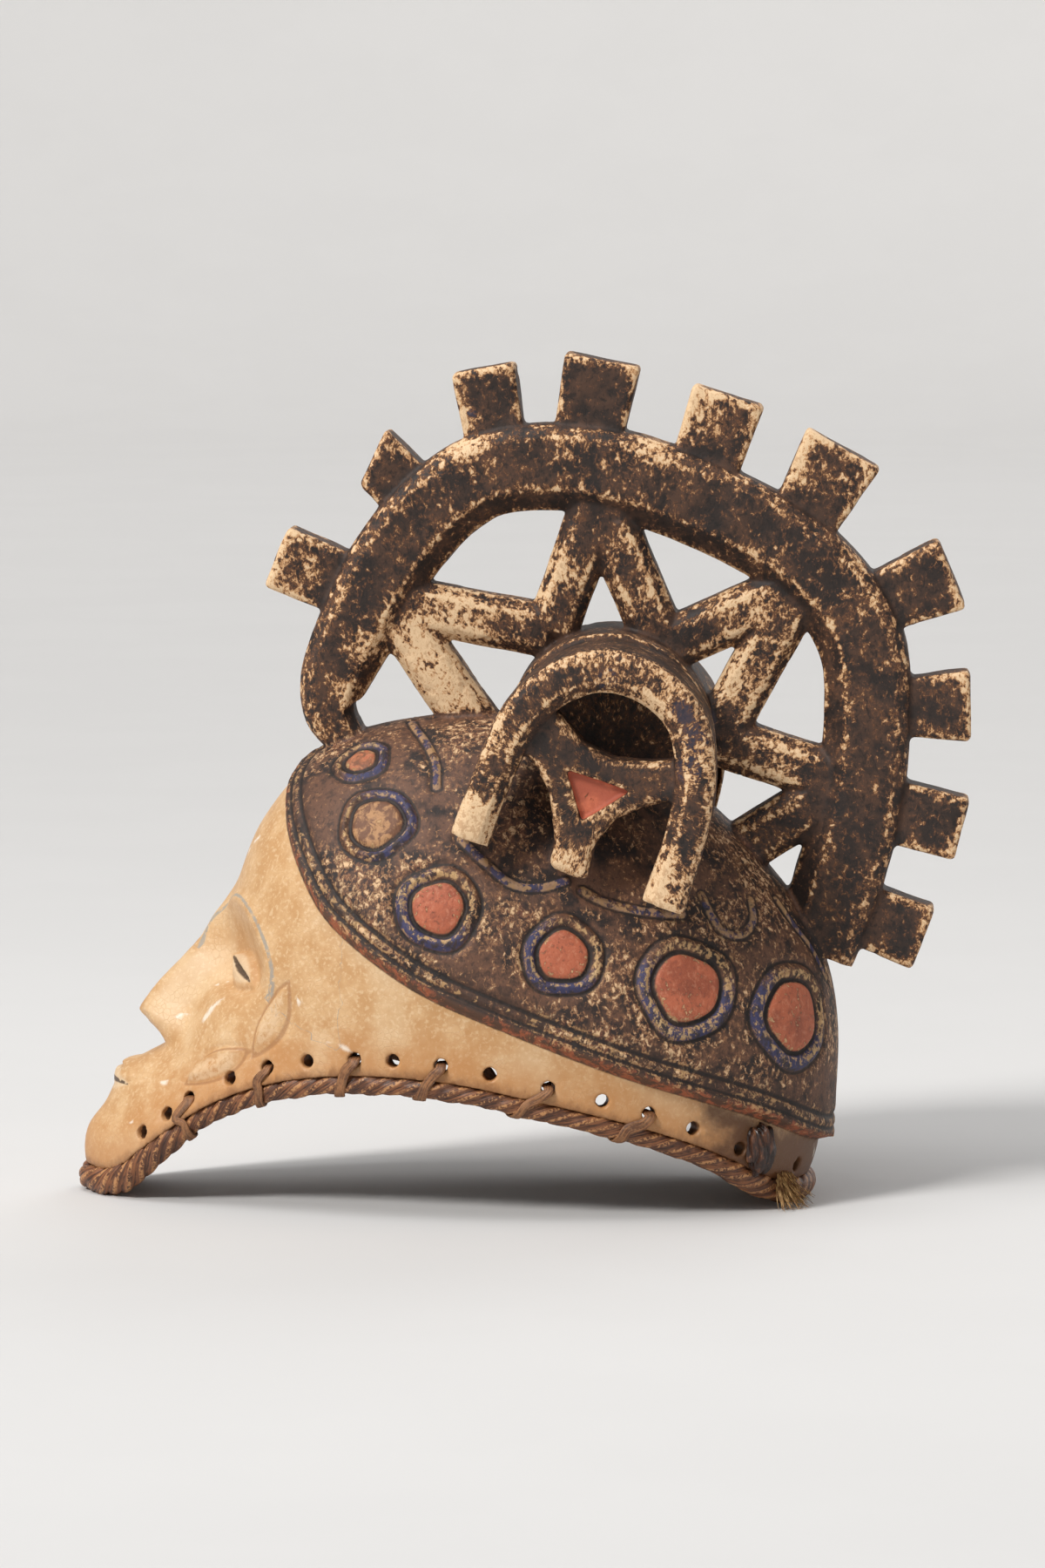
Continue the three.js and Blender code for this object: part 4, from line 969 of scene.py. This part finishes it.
def painted_wood():
    made, start, surface = material("painted_wood")
    place, noise, kept = start.place(), start.noise, start.kept
    broad = noise(38, 3)
    patch = noise(11, 4, 0.6)
    flake = noise(5.5, 6, 0.72, (1.2, 1.2, 0.8), 0.6)
    speck = noise(2.1, 5, 0.7, (1, 1, 0.75), 0.5)
    grain = noise(0.9, 3, 0.6)
    dashes = noise(3.4, 2, 0.5)

    # The face: pale ochre, faintly crazed and polished, browner by the rim, painted shade round the eyes.
    crazed = start.node("ShaderNodeTexVoronoi", {"Vector": place, "Scale": 380.0, "Randomness": 1.0},
                        output="Distance", feature="DISTANCE_TO_EDGE")
    craze = crazed.step(0.07, 0.0) * patch.step(0.42, 0.62)
    # Browner towards the rim, and darker brown close along it.
    browner_to_rim = (kept("rim") + 22 * patch + 14 * broad).step(48, 17)
    darker_at_rim = (kept("rim") + 9 * flake + 4 * patch).step(11.5, 5.5)
    # Darker at the nape, low by the rim.
    darker_at_nape = (kept("rim") + 18 * flake).step(42, 26) * (kept("around") + 30 * patch).step(-133, -117)
    bare = (kept("scrape") * (0.62 + 0.5 * speck) + 0.35 * flake).step(0.64, 0.98)
    brow = kept("brow") + 0.9 * flake - 0.45
    brow = brow.step(-0.9, -0.4) * brow.step(0.9, 0.4) * speck.step(0.36, 0.48)
    leaf = kept("leaf")
    face = Tone(190, 146, 98).coated(
        (Tone(208, 170, 125), patch.step(0.36, 0.66)),
        (Tone(220, 191, 152), noise(1.7, 3, 0.6).step(0.50, 0.66) * 0.55),
        (Tone(224, 199, 162), broad.step(0.48, 0.68) * 0.5),
        (Tone(180, 128, 78), craze * 0.25 + speck.step(0.64, 0.72) * 0.4),
        # Painted shade: browner in the eye sockets.
        (Tone(184, 134, 86), kept("socket") * 0.35),
        # Browner towards the rim, and darker brown close along it.
        (Tone(184, 128, 76), browner_to_rim * 0.75),
        (Tone(104, 62, 34), darker_at_rim * 0.6),
        # Darker at the nape, low by the rim.
        (Tone(76, 41, 18), darker_at_nape * 0.88),
        (Tone(238, 230, 216), bare * 0.7),
        (Tone(142, 144, 140), brow * 0.75),
        (Tone(239, 226, 198), kept("lid").step(0.8, 3.0) * 0.3),
        (Tone(58, 37, 24), kept("slit").step(-0.1, 0.6) * 0.9),
        (Tone(222, 192, 156), leaf.step(1.0, 2.0) * speck.step(0.40, 0.52) * 0.5),
        (Tone(150, 104, 66), leaf.step(-1.0, -0.3) * leaf.step(0.7, 0.1) * 0.6))

    # The cap: dark brown, scratched to tan, with a worn red lip, dashes between the grooves, rings of blue
    # and red bosses.
    edge, band, disc, groove = kept("cap_edge"), kept("band"), kept("disc"), kept("groove")
    first, second = BORDER_GROOVES
    fleck = speck + 0.45 * flake + 0.45 * broad + 0.10 * kept("sharp") - 0.45
    lip = Tone(86, 60, 46).coated(
        (Tone(158, 88, 58), (flake + 0.3 * broad).step(0.60, 0.74)),
        (Tone(46, 33, 27), edge.step(1.6, 3.4) * (flake + 0.2 * speck).step(0.78, 0.60)),
        (Tone(196, 150, 104), fleck.step(0.62, 0.68) * 0.7))
    blue = Tone(56, 57, 92).over(Tone(50, 42, 44), (flake + 0.3 * patch).step(0.55, 0.69))
    tan = Tone(174, 130, 90).over(Tone(112, 76, 55), flake.step(0.44, 0.56))
    boss = Tone(150, 79, 55).coated(
        (Tone(176, 96, 67), patch.step(0.34, 0.56)),
        (Tone(124, 68, 54), speck.step(0.52, 0.62) * 0.5),
        (Tone(200, 138, 108), speck.step(0.46, 0.38) * 0.35))
    boss = boss.over(tan, (kept("red") + 0.6 * flake - 0.3).step(0.35, 0.55))
    boss = Tone(212, 172, 126).over(boss, (fleck + 0.06 * disc.step(2.5, 0.0)).step(0.62, 0.68) * 0.75)
    flecked = (dashes + 0.5 * speck).step(0.70, 0.78)
    between = edge.step(first + 0.7, first + 1.3) * edge.step(second - 1.0, second - 1.6)
    in_band = band.step(0.2, 1.0) * disc.step(-1.4, -2.4)
    mid_ring = band.step(2.6, 3.4) * band.step(6.4, 5.4) * disc.step(-2.4, -3.0)
    swag = kept("swag").step(2.0, 1.2) * edge.step(13, 15) * band.step(1, -1)
    beside_groove = groove.step(0.05, 0.25) * groove.step(0.6, 0.4)
    cap = Tone(100, 68, 50).coated(
        (Tone(38, 28, 25), (patch + 0.5 * broad - 0.25).step(0.40, 0.60)),
        (Tone(126, 76, 56), broad.step(0.50, 0.64) * flake.step(0.44, 0.62) * 0.7),
        (Tone(22, 17, 15), (speck + 0.5 * patch).step(0.70, 0.60) * 0.55),
        (Tone(148, 104, 70), fleck.step(0.52, 0.58) * 0.8),
        (Tone(222, 184, 142), fleck.step(0.60, 0.64) * 0.95),
        (Tone(44, 32, 27), edge.step(18, 9) * (flake + 0.5 * patch).step(0.86, 0.66) * 0.7),
        (lip, edge.step(first - 0.6, first - 1.6) * edge.step(-1.0, 0.2)),
        (Tone(190, 150, 102), between * (dashes + 0.4 * speck).step(0.78, 0.86) * 0.7),
        (blue, in_band * (kept("blue_side") + 0.8 * flake - 0.4).step(0.20, 0.60) * 0.92),
        (Tone(206, 170, 120), in_band * fleck.step(0.60, 0.66) * 0.7),
        (Tone(206, 168, 118), mid_ring * flecked * speck.step(0.42, 0.56) * 0.8),
        (boss, disc.step(-0.4, 0.2)),
        (blue, swag * (patch + 0.3 * flake).step(0.55, 0.68) * 0.8),
        (Tone(186, 146, 100), swag * flecked * 0.6),
        (Tone(176, 136, 92), beside_groove * fleck.step(0.52, 0.60) * 0.8),
        (Tone(27, 20, 17), (groove + 0.8 * flake - 0.4).step(0.40, 0.95) * 0.88))

    # The crest: near-black paint, flaking in small strokes, thinnest on the arrises.
    sharp = kept("sharp").step(0.04, 0.45) - kept("sharp").step(0.0, -0.4) * 0.8
    arris = kept("sharp").step(0.40, 0.85)
    across = start.node("ShaderNodeSeparateXYZ", {"Vector": place}, output="Y") * 1000
    brushed = {"X": kept("around"), "Y": across, "Z": kept("reach") * 0.6}
    stroke = start.node("ShaderNodeCombineXYZ", brushed).noise_here(0.55, 4.0, 0.68, 0.3)
    wear = 0.5 * stroke + 0.9 * speck + 0.45 * flake + 0.25 * patch + 0.15 * broad + 0.14 * sharp
    wear = wear + 0.06 * arris + 0.30 * kept("worn") - 0.643
    weathered = wear.step(0.80, 0.95) * (speck + 0.3 * flake).step(0.62, 0.72)
    red = Tone(206, 114, 82).over(Tone(172, 88, 64), patch.step(0.4, 0.6))
    crest_paint = Tone(40, 29, 24).coated(
        (Tone(76, 52, 38), patch.step(0.38, 0.62)),
        (Tone(20, 15, 13), speck.step(0.47, 0.38) * 0.7),
        (Tone(62, 64, 88), (kept("blue") + 0.5 * flake - 0.25).step(0.45, 0.75) * 0.35),
        (Tone(124, 80, 50), wear.step(0.52, 0.61) * 0.75),
        (Tone(190, 142, 96), wear.step(0.62, 0.66)),
        (Tone(224, 192, 152), wear.step(0.67, 0.76)),
        (Tone(164, 116, 74), weathered * 0.5),
        (red, kept("triangle").step(0.4, 0.6) * fleck.step(0.68, 0.62)))

    # The inside: bare wood, brown from handling.
    inside = Tone(112, 78, 52).over(Tone(84, 60, 42), patch.step(0.4, 0.6))
    inside = Tone(146, 106, 70).over(inside, noise(6, 3, 0.5, (0.3, 1, 1)).step(0.5, 0.7) * 0.5)

    on_cap = (edge + 0.8 * speck - 0.4).step(-0.9, -0.3)
    on_crest = (kept("crest") + 1.6 * flake - 0.8).step(-0.5, 0.5)
    colour = crest_paint.over(cap.over(face, on_cap), on_crest)
    colour = inside.over(colour, (kept("inside") + 2 * patch - 1).step(-1.0, 1.0))

    matt = on_cap.sum("MAXIMUM", on_cap, on_crest)
    roughness = 0.36 + 0.16 * matt + 0.22 * patch
    painted = wear.step(0.65, 0.58) * on_crest + fleck.step(0.66, 0.60) * on_cap * (1 - on_crest)
    height = (0.30 * speck + 0.2 * grain + 0.4 * patch) * (0.35 + 0.65 * matt) + 0.35 * painted
    finish(start, surface, colour, roughness, height - craze * (1 - matt) * 0.10, 0.0007)
    surface.inputs["Specular IOR Level"].default_value = 0.42
    return made


wood.data.materials.clear()
wood.data.materials.append(painted_wood())
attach(wood, "root")
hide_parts("carved_mask")


# The roll that binds the rim: strips of hide twisted round each other like a rope, dried hard and dark. It
# lies against the edge of the wood all the way round, and the mask stands on it at the chin and the nape.
ROLL_STEPS = 620
ROLL_SIDES = 42
ROLL_STRANDS = 5
ROLL_TURNS = 19
ROLL_GAP = -0.5


def roll_radius(x):
    return 4.1 + 1.6 * smooth(-130, -165, x) + 0.9 * smooth(70, 105, x)


def roll_middle(degrees):
    x = rim_point(degrees)[:, 0]
    place = rim_point(degrees, out=-4 + 3.2 * smooth(-140, -172, x) + 2 * smooth(70, 110, x))
    x = place[:, 0]
    slope = (arch_at(x + 1) - arch_at(x - 1)) / 2
    drop = (roll_radius(x) + ROLL_GAP) / np.hypot(1, slope)
    return place + np.column_stack([slope * drop, 0 * x, -drop])


def square_to(tangent):
    """Level and outward, and up, square to a line that runs round the rim."""
    outward = unit(np.column_stack([tangent[:, 1], -tangent[:, 0], 0 * tangent[:, 0]]))
    return outward, unit(np.cross(outward, tangent))


def rings_round(line, radius, turn, level, upward):
    """Rings of places round a line, with the two ways that are square to it."""
    c, s = np.cos(turn)[None, :, None], np.sin(turn)[None, :, None]
    return line[:, None] + radius[..., None] * (c * level[..., None, :] + s * upward[..., None, :])


def twisted_roll():
    dense = np.linspace(0, 360, 1441)
    run = run_of(roll_middle(dense))
    along_roll = np.linspace(0, run[-1], ROLL_STEPS + 1)[:-1]
    middles = roll_middle(np.interp(along_roll, run, dense))
    outward, upward = square_to(np.roll(middles, -1, axis=0) - np.roll(middles, 1, axis=0))
    turn = (np.arange(ROLL_SIDES) / ROLL_SIDES + 0.25) * 2 * np.pi
    share = along_roll / run[-1]
    uneven = 0.35 * np.sin(share * 2 * np.pi * 7 + 1) + 0.3 * np.sin(share * 2 * np.pi * 12)
    twist = turn[None, :] / (2 * np.pi) - (share * ROLL_TURNS)[:, None]
    phase = ROLL_STRANDS * twist + 0.3 * uneven[:, None]
    strand = np.sqrt(1 - 0.96 * (2 * (phase % 1) - 1) ** 2)
    wander = 0.05 * np.sin(share * 2 * np.pi * 23)[:, None] + 0.04 * np.sin(phase * np.pi)
    radius = roll_radius(middles[:, 0])[:, None] * (0.80 + 0.25 * strand + wander)
    rings = rings_round(middles, radius, turn, outward, upward)
    rings += 0.16 * lumps(rings.reshape(-1, 3), 2.2, 21).reshape(*phase.shape, 1)
    rings[..., 2] = np.maximum(rings[..., 2], 0.0)
    along_roll = along_roll[:, None] + 0 * phase
    return lofted("rim_roll_hide", rings, closed=True, strand=strand, along=along_roll, over=phase * 6.0)


def hide(name, dark, light, ridge_light, gloss, lay):
    """Dried hide: painted shade in its folds, rubbed on its ridges, with fibres that follow its lay."""
    made, start, surface = material(name)
    noise, kept = start.noise, start.kept
    fibres = start.node("ShaderNodeCombineXYZ", {"X": kept("over") * lay[0], "Y": kept("along") * lay[1]})
    streak = fibres.noise_here(1.0, 4.0)
    patch = noise(9, 4, 0.6)
    speck = noise(1.2, 3, 0.6)
    colour = light.over(dark, (streak + 0.5 * patch - 0.25).step(0.40, 0.64))
    colour = ridge_light.over(colour, kept("strand").step(0.86, 1.0) * (speck + 0.3 * patch).step(0.58, 0.74))
    # Painted shade: near black in the folds between the strands.
    colour = Tone(30, 20, 16).over(colour, kept("strand").step(0.62, 0.25) * 0.85)
    finish(start, surface, colour, gloss + 0.3 * patch, streak * 0.7 + speck * 0.3, 0.0005)
    return made


roll = twisted_roll()
roll.data.materials.append(
    hide("roll_hide", Tone(78, 45, 28), Tone(132, 82, 49), Tone(184, 132, 84), 0.34, (0.9, 0.06)))
pick(roll)
bpy.ops.object.shade_smooth()
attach(roll, "root")
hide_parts("rim_roll")


# The lashing: a flat thong of tan hide. It comes out of every second hole, crosses the wood and the roll
# on a slant, goes round under the roll, and runs on inside the wall to the next hole.
LACED_HOLES = slice(1, 14)
THONG_WIDTH = 4.4
THONG_THICKNESS = 1.2
THONG_STEPS = 1150
THONG_SIDES = 8
INSIDE_CLEAR = 2.2


def inside_wall(degrees, above=HOLE_ABOVE_RIM, clear=INSIDE_CLEAR):
    """Where the thong runs inside, a little clear of the wood."""
    return rim_point(degrees, inset=1, out=-clear, above=above)[0]


def stitch(angle, step):
    """Places of one stitch, each with the way that the thong's flat side faces."""

    def at(share):
        return np.array([angle + share * step])

    def round_roll(share, degrees):
        middle = roll_middle(at(share))
        outward, upward = square_to(roll_middle(at(share) + 1) - roll_middle(at(share) - 1))
        turn = np.radians(degrees)
        facing = np.cos(turn) * outward + np.sin(turn) * upward
        reach = roll_radius(middle[:, 0]) * 1.05 + THONG_THICKNESS * 0.45
        place = middle + reach * facing
        place[:, 2] = np.maximum(place[:, 2], THONG_THICKNESS / 2)
        return [place[0], facing[0]]

    outward = rim_outward(at(0))[0]
    hole = rim_point(at(0), above=HOLE_ABOVE_RIM)[0]
    depth = (hole - inside_wall(at(0))) @ outward
    up = np.array([0, 0, 1.0])
    return [
        [hole - depth * outward, up - outward],
        [hole - 0.5 * outward, up],
        [hole + 1.1 * outward - 1.2 * up, outward + up],
        [rim_point(at(0.15), out=1.0, above=2.5)[0], outward],
        round_roll(0.28, 18), round_roll(0.36, -35), round_roll(0.44, -85), round_roll(0.52, -135),
        round_roll(0.60, -185),
        [inside_wall(at(0.8), above=3), -outward],
        [inside_wall(at(1)), -outward],
    ]


def laced_side(angles):
    """The stitches of one side, in order, each into the hole after next."""
    rows = []
    for first, second in zip(angles[1::2], angles[2::2]):
        rows += stitch(first, second - first)
    return rows


def thong():
    near = hole_angles[LACED_HOLES]
    behind_chin = []
    for degrees in (188, 180, 172):
        place = inside_wall(degrees, above=HOLE_ABOVE_RIM + 6, clear=INSIDE_CLEAR + 2)
        behind_chin.append([place, -rim_outward([degrees])[0]])
    rows = laced_side(near[::-1]) + behind_chin + laced_side(360 - near)
    table = np.array([np.concatenate(row) for row in rows])
    samples = through(table, THONG_STEPS, places=3)
    place, facing = samples[:, :3], samples[:, 3:]
    tangent = unit(np.gradient(place, axis=0))
    facing = unit(facing - np.sum(facing * tangent, axis=1)[:, None] * tangent)
    across = np.cross(tangent, facing)
    turn = (np.arange(THONG_SIDES) + 0.5) / THONG_SIDES * 2 * np.pi
    broad = np.sign(np.cos(turn)) * np.abs(np.cos(turn)) ** 0.6 * THONG_WIDTH / 2
    thick = np.sign(np.sin(turn)) * np.abs(np.sin(turn)) ** 0.6 * THONG_THICKNESS / 2
    run = run_of(place)
    uneven = 1 + 0.16 * np.sin(run / 9) + 0.10 * np.sin(run / 3.7 + 1)
    rings = place[:, None] + broad[None, :, None] * uneven[:, None, None] * across[:, None]
    rings = rings + thick[None, :, None] * facing[:, None]
    rings[..., 2] = np.maximum(rings[..., 2], 0.0)
    flat = np.ones((len(place), THONG_SIDES))
    run = run[:, None] * flat
    return lofted("lashing_thong", rings, strand=0.9 * flat, along=run, over=broad[None] * flat)


lashing = thong()
lashing.data.materials.append(
    hide("lace_hide", Tone(90, 56, 34), Tone(142, 94, 57), Tone(184, 138, 92), 0.42, (1.6, 0.09)))
pick(lashing)
bpy.ops.object.shade_smooth()
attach(lashing, "root")
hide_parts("lashing")


# The knot of the binding: a lump of dark resin and hide, pressed against the wood behind the last hole. It
# set glossy, with runs down its face.
KNOT = dict(x=101.0, z=27.0, along=7.0, up=10.5, out=7.0)


def knot():
    bpy.ops.mesh.primitive_uv_sphere_add(segments=72, ring_count=48)
    obj = bpy.context.object
    obj.name = "resin_knot"
    form = unit(points_of(obj))
    x, z = KNOT["x"], KNOT["z"]
    outward = rim_outward([angle_of_hole(x)])[0]
    level = np.array([-outward[1], outward[0], 0])
    place = np.array([x, -half_width(x, z), z])
    runs = 0.10 * np.sin(form[:, 0] * 9 + 2 * form[:, 2]) + 0.05 * np.sin(form[:, 0] * 21 + 1)
    size = 1 + runs * (form[:, 1] < 0.4) + 0.10 * lumps(form * 10, 4, 31) + 0.04 * lumps(form * 10, 1.5, 32)
    flat = np.where(form[:, 1] > 0, 0.35, 1.0)
    places = place + size[:, None] * (
        form[:, :1] * KNOT["along"] * level + form[:, 2:] * np.array([0, 0, KNOT["up"]])
        - (form[:, 1] * flat)[:, None] * KNOT["out"] * outward)
    move_points(obj, places)
    bpy.ops.object.shade_smooth()
    return obj


def resin():
    made, start, surface = material("resin")
    noise = start.noise
    runs = noise(2.2, 4, 0.6, (1, 1, 0.22))
    patch = noise(6, 3, 0.5)
    colour = Tone(88, 54, 36).over(Tone(42, 26, 20), (runs + 0.4 * patch).step(0.66, 0.84))
    colour = Tone(150, 104, 66).over(colour, (runs + 0.5 * noise(1.2, 3, 0.6)).step(0.86, 0.94) * 0.6)
    finish(start, surface, colour, 0.18 + 0.35 * patch, runs, 0.0006)
    return made


resin_knot = knot()
resin_knot.data.materials.append(resin())
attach(resin_knot, "root")
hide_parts("binding_knot")


# The end of the binding at the nape: straw fibres that came loose from the roll and splay towards the
# floor. One blade is made, and the rest are copies of it, bent and turned by a fixed draw.
TUFT_ANGLE = -14.0
TUFT_FIBRES = 84
BLADE_STEPS = 7


def tuft():
    draw = np.random.default_rng(5)
    outward = rim_outward([TUFT_ANGLE])[0]
    level = np.array([-outward[1], outward[0], 0])
    middle = roll_middle(np.array([TUFT_ANGLE]))[0]
    reach = roll_radius(middle[0])
    up = np.array([0, 0, 1])
    rings = []
    for _ in range(TUFT_FIBRES):
        side = draw.uniform(-6, 6)
        length = draw.uniform(8, 17)
        off = reach + draw.uniform(-0.5, 0.6)
        root = middle + side * level + outward * off + np.array([0, 0, draw.uniform(1, 8)])
        splay = draw.uniform(0.1, 0.9)
        sway = side / 9 + draw.normal(0, 0.25)
        lean = unit(outward * splay + level * sway - up)
        s = np.linspace(0, 1, BLADE_STEPS + 1)[:, None]
        bend = draw.normal(0, 2.2) * level + draw.uniform(0, 2.5) * outward
        line = root + lean * length * s + bend * s * s
        line[:, 2] = np.maximum(line[:, 2], 0.3 + 0.5 * draw.uniform())
        thick = draw.uniform(0.28, 0.5) * (1 - 0.75 * s)
        turn = np.arange(3) / 3 * 2 * np.pi
        rings.append(rings_round(line, thick, turn, level, unit(outward + [0, 0, 0.4])))
    blade = lofted("blade", rings[0])
    blades = [blade]
    order = blade_order(rings[0], drawn_points(blade))
    for ring in rings[1:]:
        copy = blade.copy()
        copy.data = blade.data.copy()
        bpy.context.collection.objects.link(copy)
        move_points(copy, ring.reshape(-1, 3)[order])
        blades.append(copy)
    pick(*blades)
    bpy.ops.object.join()
    blade.name = "straw_tuft"
    return blade


def blade_order(ring, placed):
    """Which place of the blade's rings each point of its finished mesh came from."""
    flat = ring.reshape(-1, 3)
    return np.array([np.argmin(np.linalg.norm(flat - point, axis=1)) for point in placed])


def straw():
    made, start, surface = material("fibre")
    tone = start.noise(2.5, 3, 0.6)
    colour = Tone(206, 168, 112).over(Tone(128, 90, 54), tone.step(0.38, 0.62))
    finish(start, surface, colour, 0.6 + 0.2 * tone, start.noise(0.7, 3, 0.6), 0.0002)
    return made


straw_tuft = tuft()
straw_tuft.data.materials.append(straw())
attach(straw_tuft, "root")
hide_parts("fibre_tuft")


# The room: a pale floor that turns up into a low wall all round, soft light from the upper left, and the
# camera, level with the photograph's view of the mask: nearly square to its side and a little above it.
CAMERA = (0.1556, -2.9895, 0.472)
AIM = (0.0, 0.0, 0.172)
LENS = 248.0
FLOOR_RADIUS = 6.0
SWEEP_RADIUS = 2.4
ROOM_RINGS = 40
ROOM_SIDES = 96


def room():
    sweep = np.linspace(0, np.pi / 2, ROOM_RINGS // 2)
    reach = np.concatenate([np.linspace(0, 1, ROOM_RINGS // 2) * FLOOR_RADIUS,
                            FLOOR_RADIUS + SWEEP_RADIUS * np.sin(sweep[1:])])
    rise = np.concatenate([np.zeros(ROOM_RINGS // 2), SWEEP_RADIUS * (1 - np.cos(sweep[1:]))])
    turn = np.arange(ROOM_SIDES) / ROOM_SIDES * 2 * np.pi
    rings = np.stack([reach[:, None] * np.cos(turn), reach[:, None] * np.sin(turn),
                      rise[:, None] + 0 * turn], axis=-1) * 1000
    obj = lofted("room", rings, ends=1)
    bpy.ops.object.shade_smooth()
    made, start, surface = material("pale_floor")
    cloud = start.noise(180, 3)
    colour = Tone(213, 212, 211).over(Tone(212, 211, 210), cloud.step(0.4, 0.6))
    made.node_tree.links.new(colour.socket, surface.inputs["Base Color"])
    surface.inputs["Roughness"].default_value = 0.8
    obj.data.materials.append(made)


def set_at(name, data, place):
    """A light or camera at a place, turned to look at the mask."""
    obj = bpy.data.objects.new(name, data)
    bpy.context.collection.objects.link(obj)
    obj.location = place
    obj.rotation_euler = (Vector(AIM) - Vector(place)).to_track_quat("-Z", "Y").to_euler()
    return obj


def light_from(name, kind, place, power, spread, colour=(1, 1, 1)):
    light = bpy.data.lights.new(name, kind)
    light.energy = power
    light.color = colour
    if kind == "SUN":
        light.angle = np.radians(spread)
    else:
        light.size = spread
    set_at(name, light, place)


room()
light_from("key", "SUN", (-1.5, -1.7, 2.1), 2.35, 14, (1.0, 0.985, 0.965))
light_from("back", "SUN", (1.2, 2.0, 2.0), 0.55, 30)
light_from("top", "AREA", (-0.4, -0.3, 1.6), 9, 0.8)
world = bpy.data.worlds.new("room")
bpy.context.scene.world = world
world.use_nodes = True
world.node_tree.nodes["Background"].inputs["Color"].default_value = (0.97, 0.965, 0.96, 1)
world.node_tree.nodes["Background"].inputs["Strength"].default_value = 0.42
bpy.context.scene.view_settings.view_transform = "Standard"

camera = bpy.data.cameras.new("camera")
camera.lens = LENS
camera.sensor_fit = "HORIZONTAL"
camera.clip_end = 50
bpy.context.scene.camera = set_at("camera", camera, CAMERA)
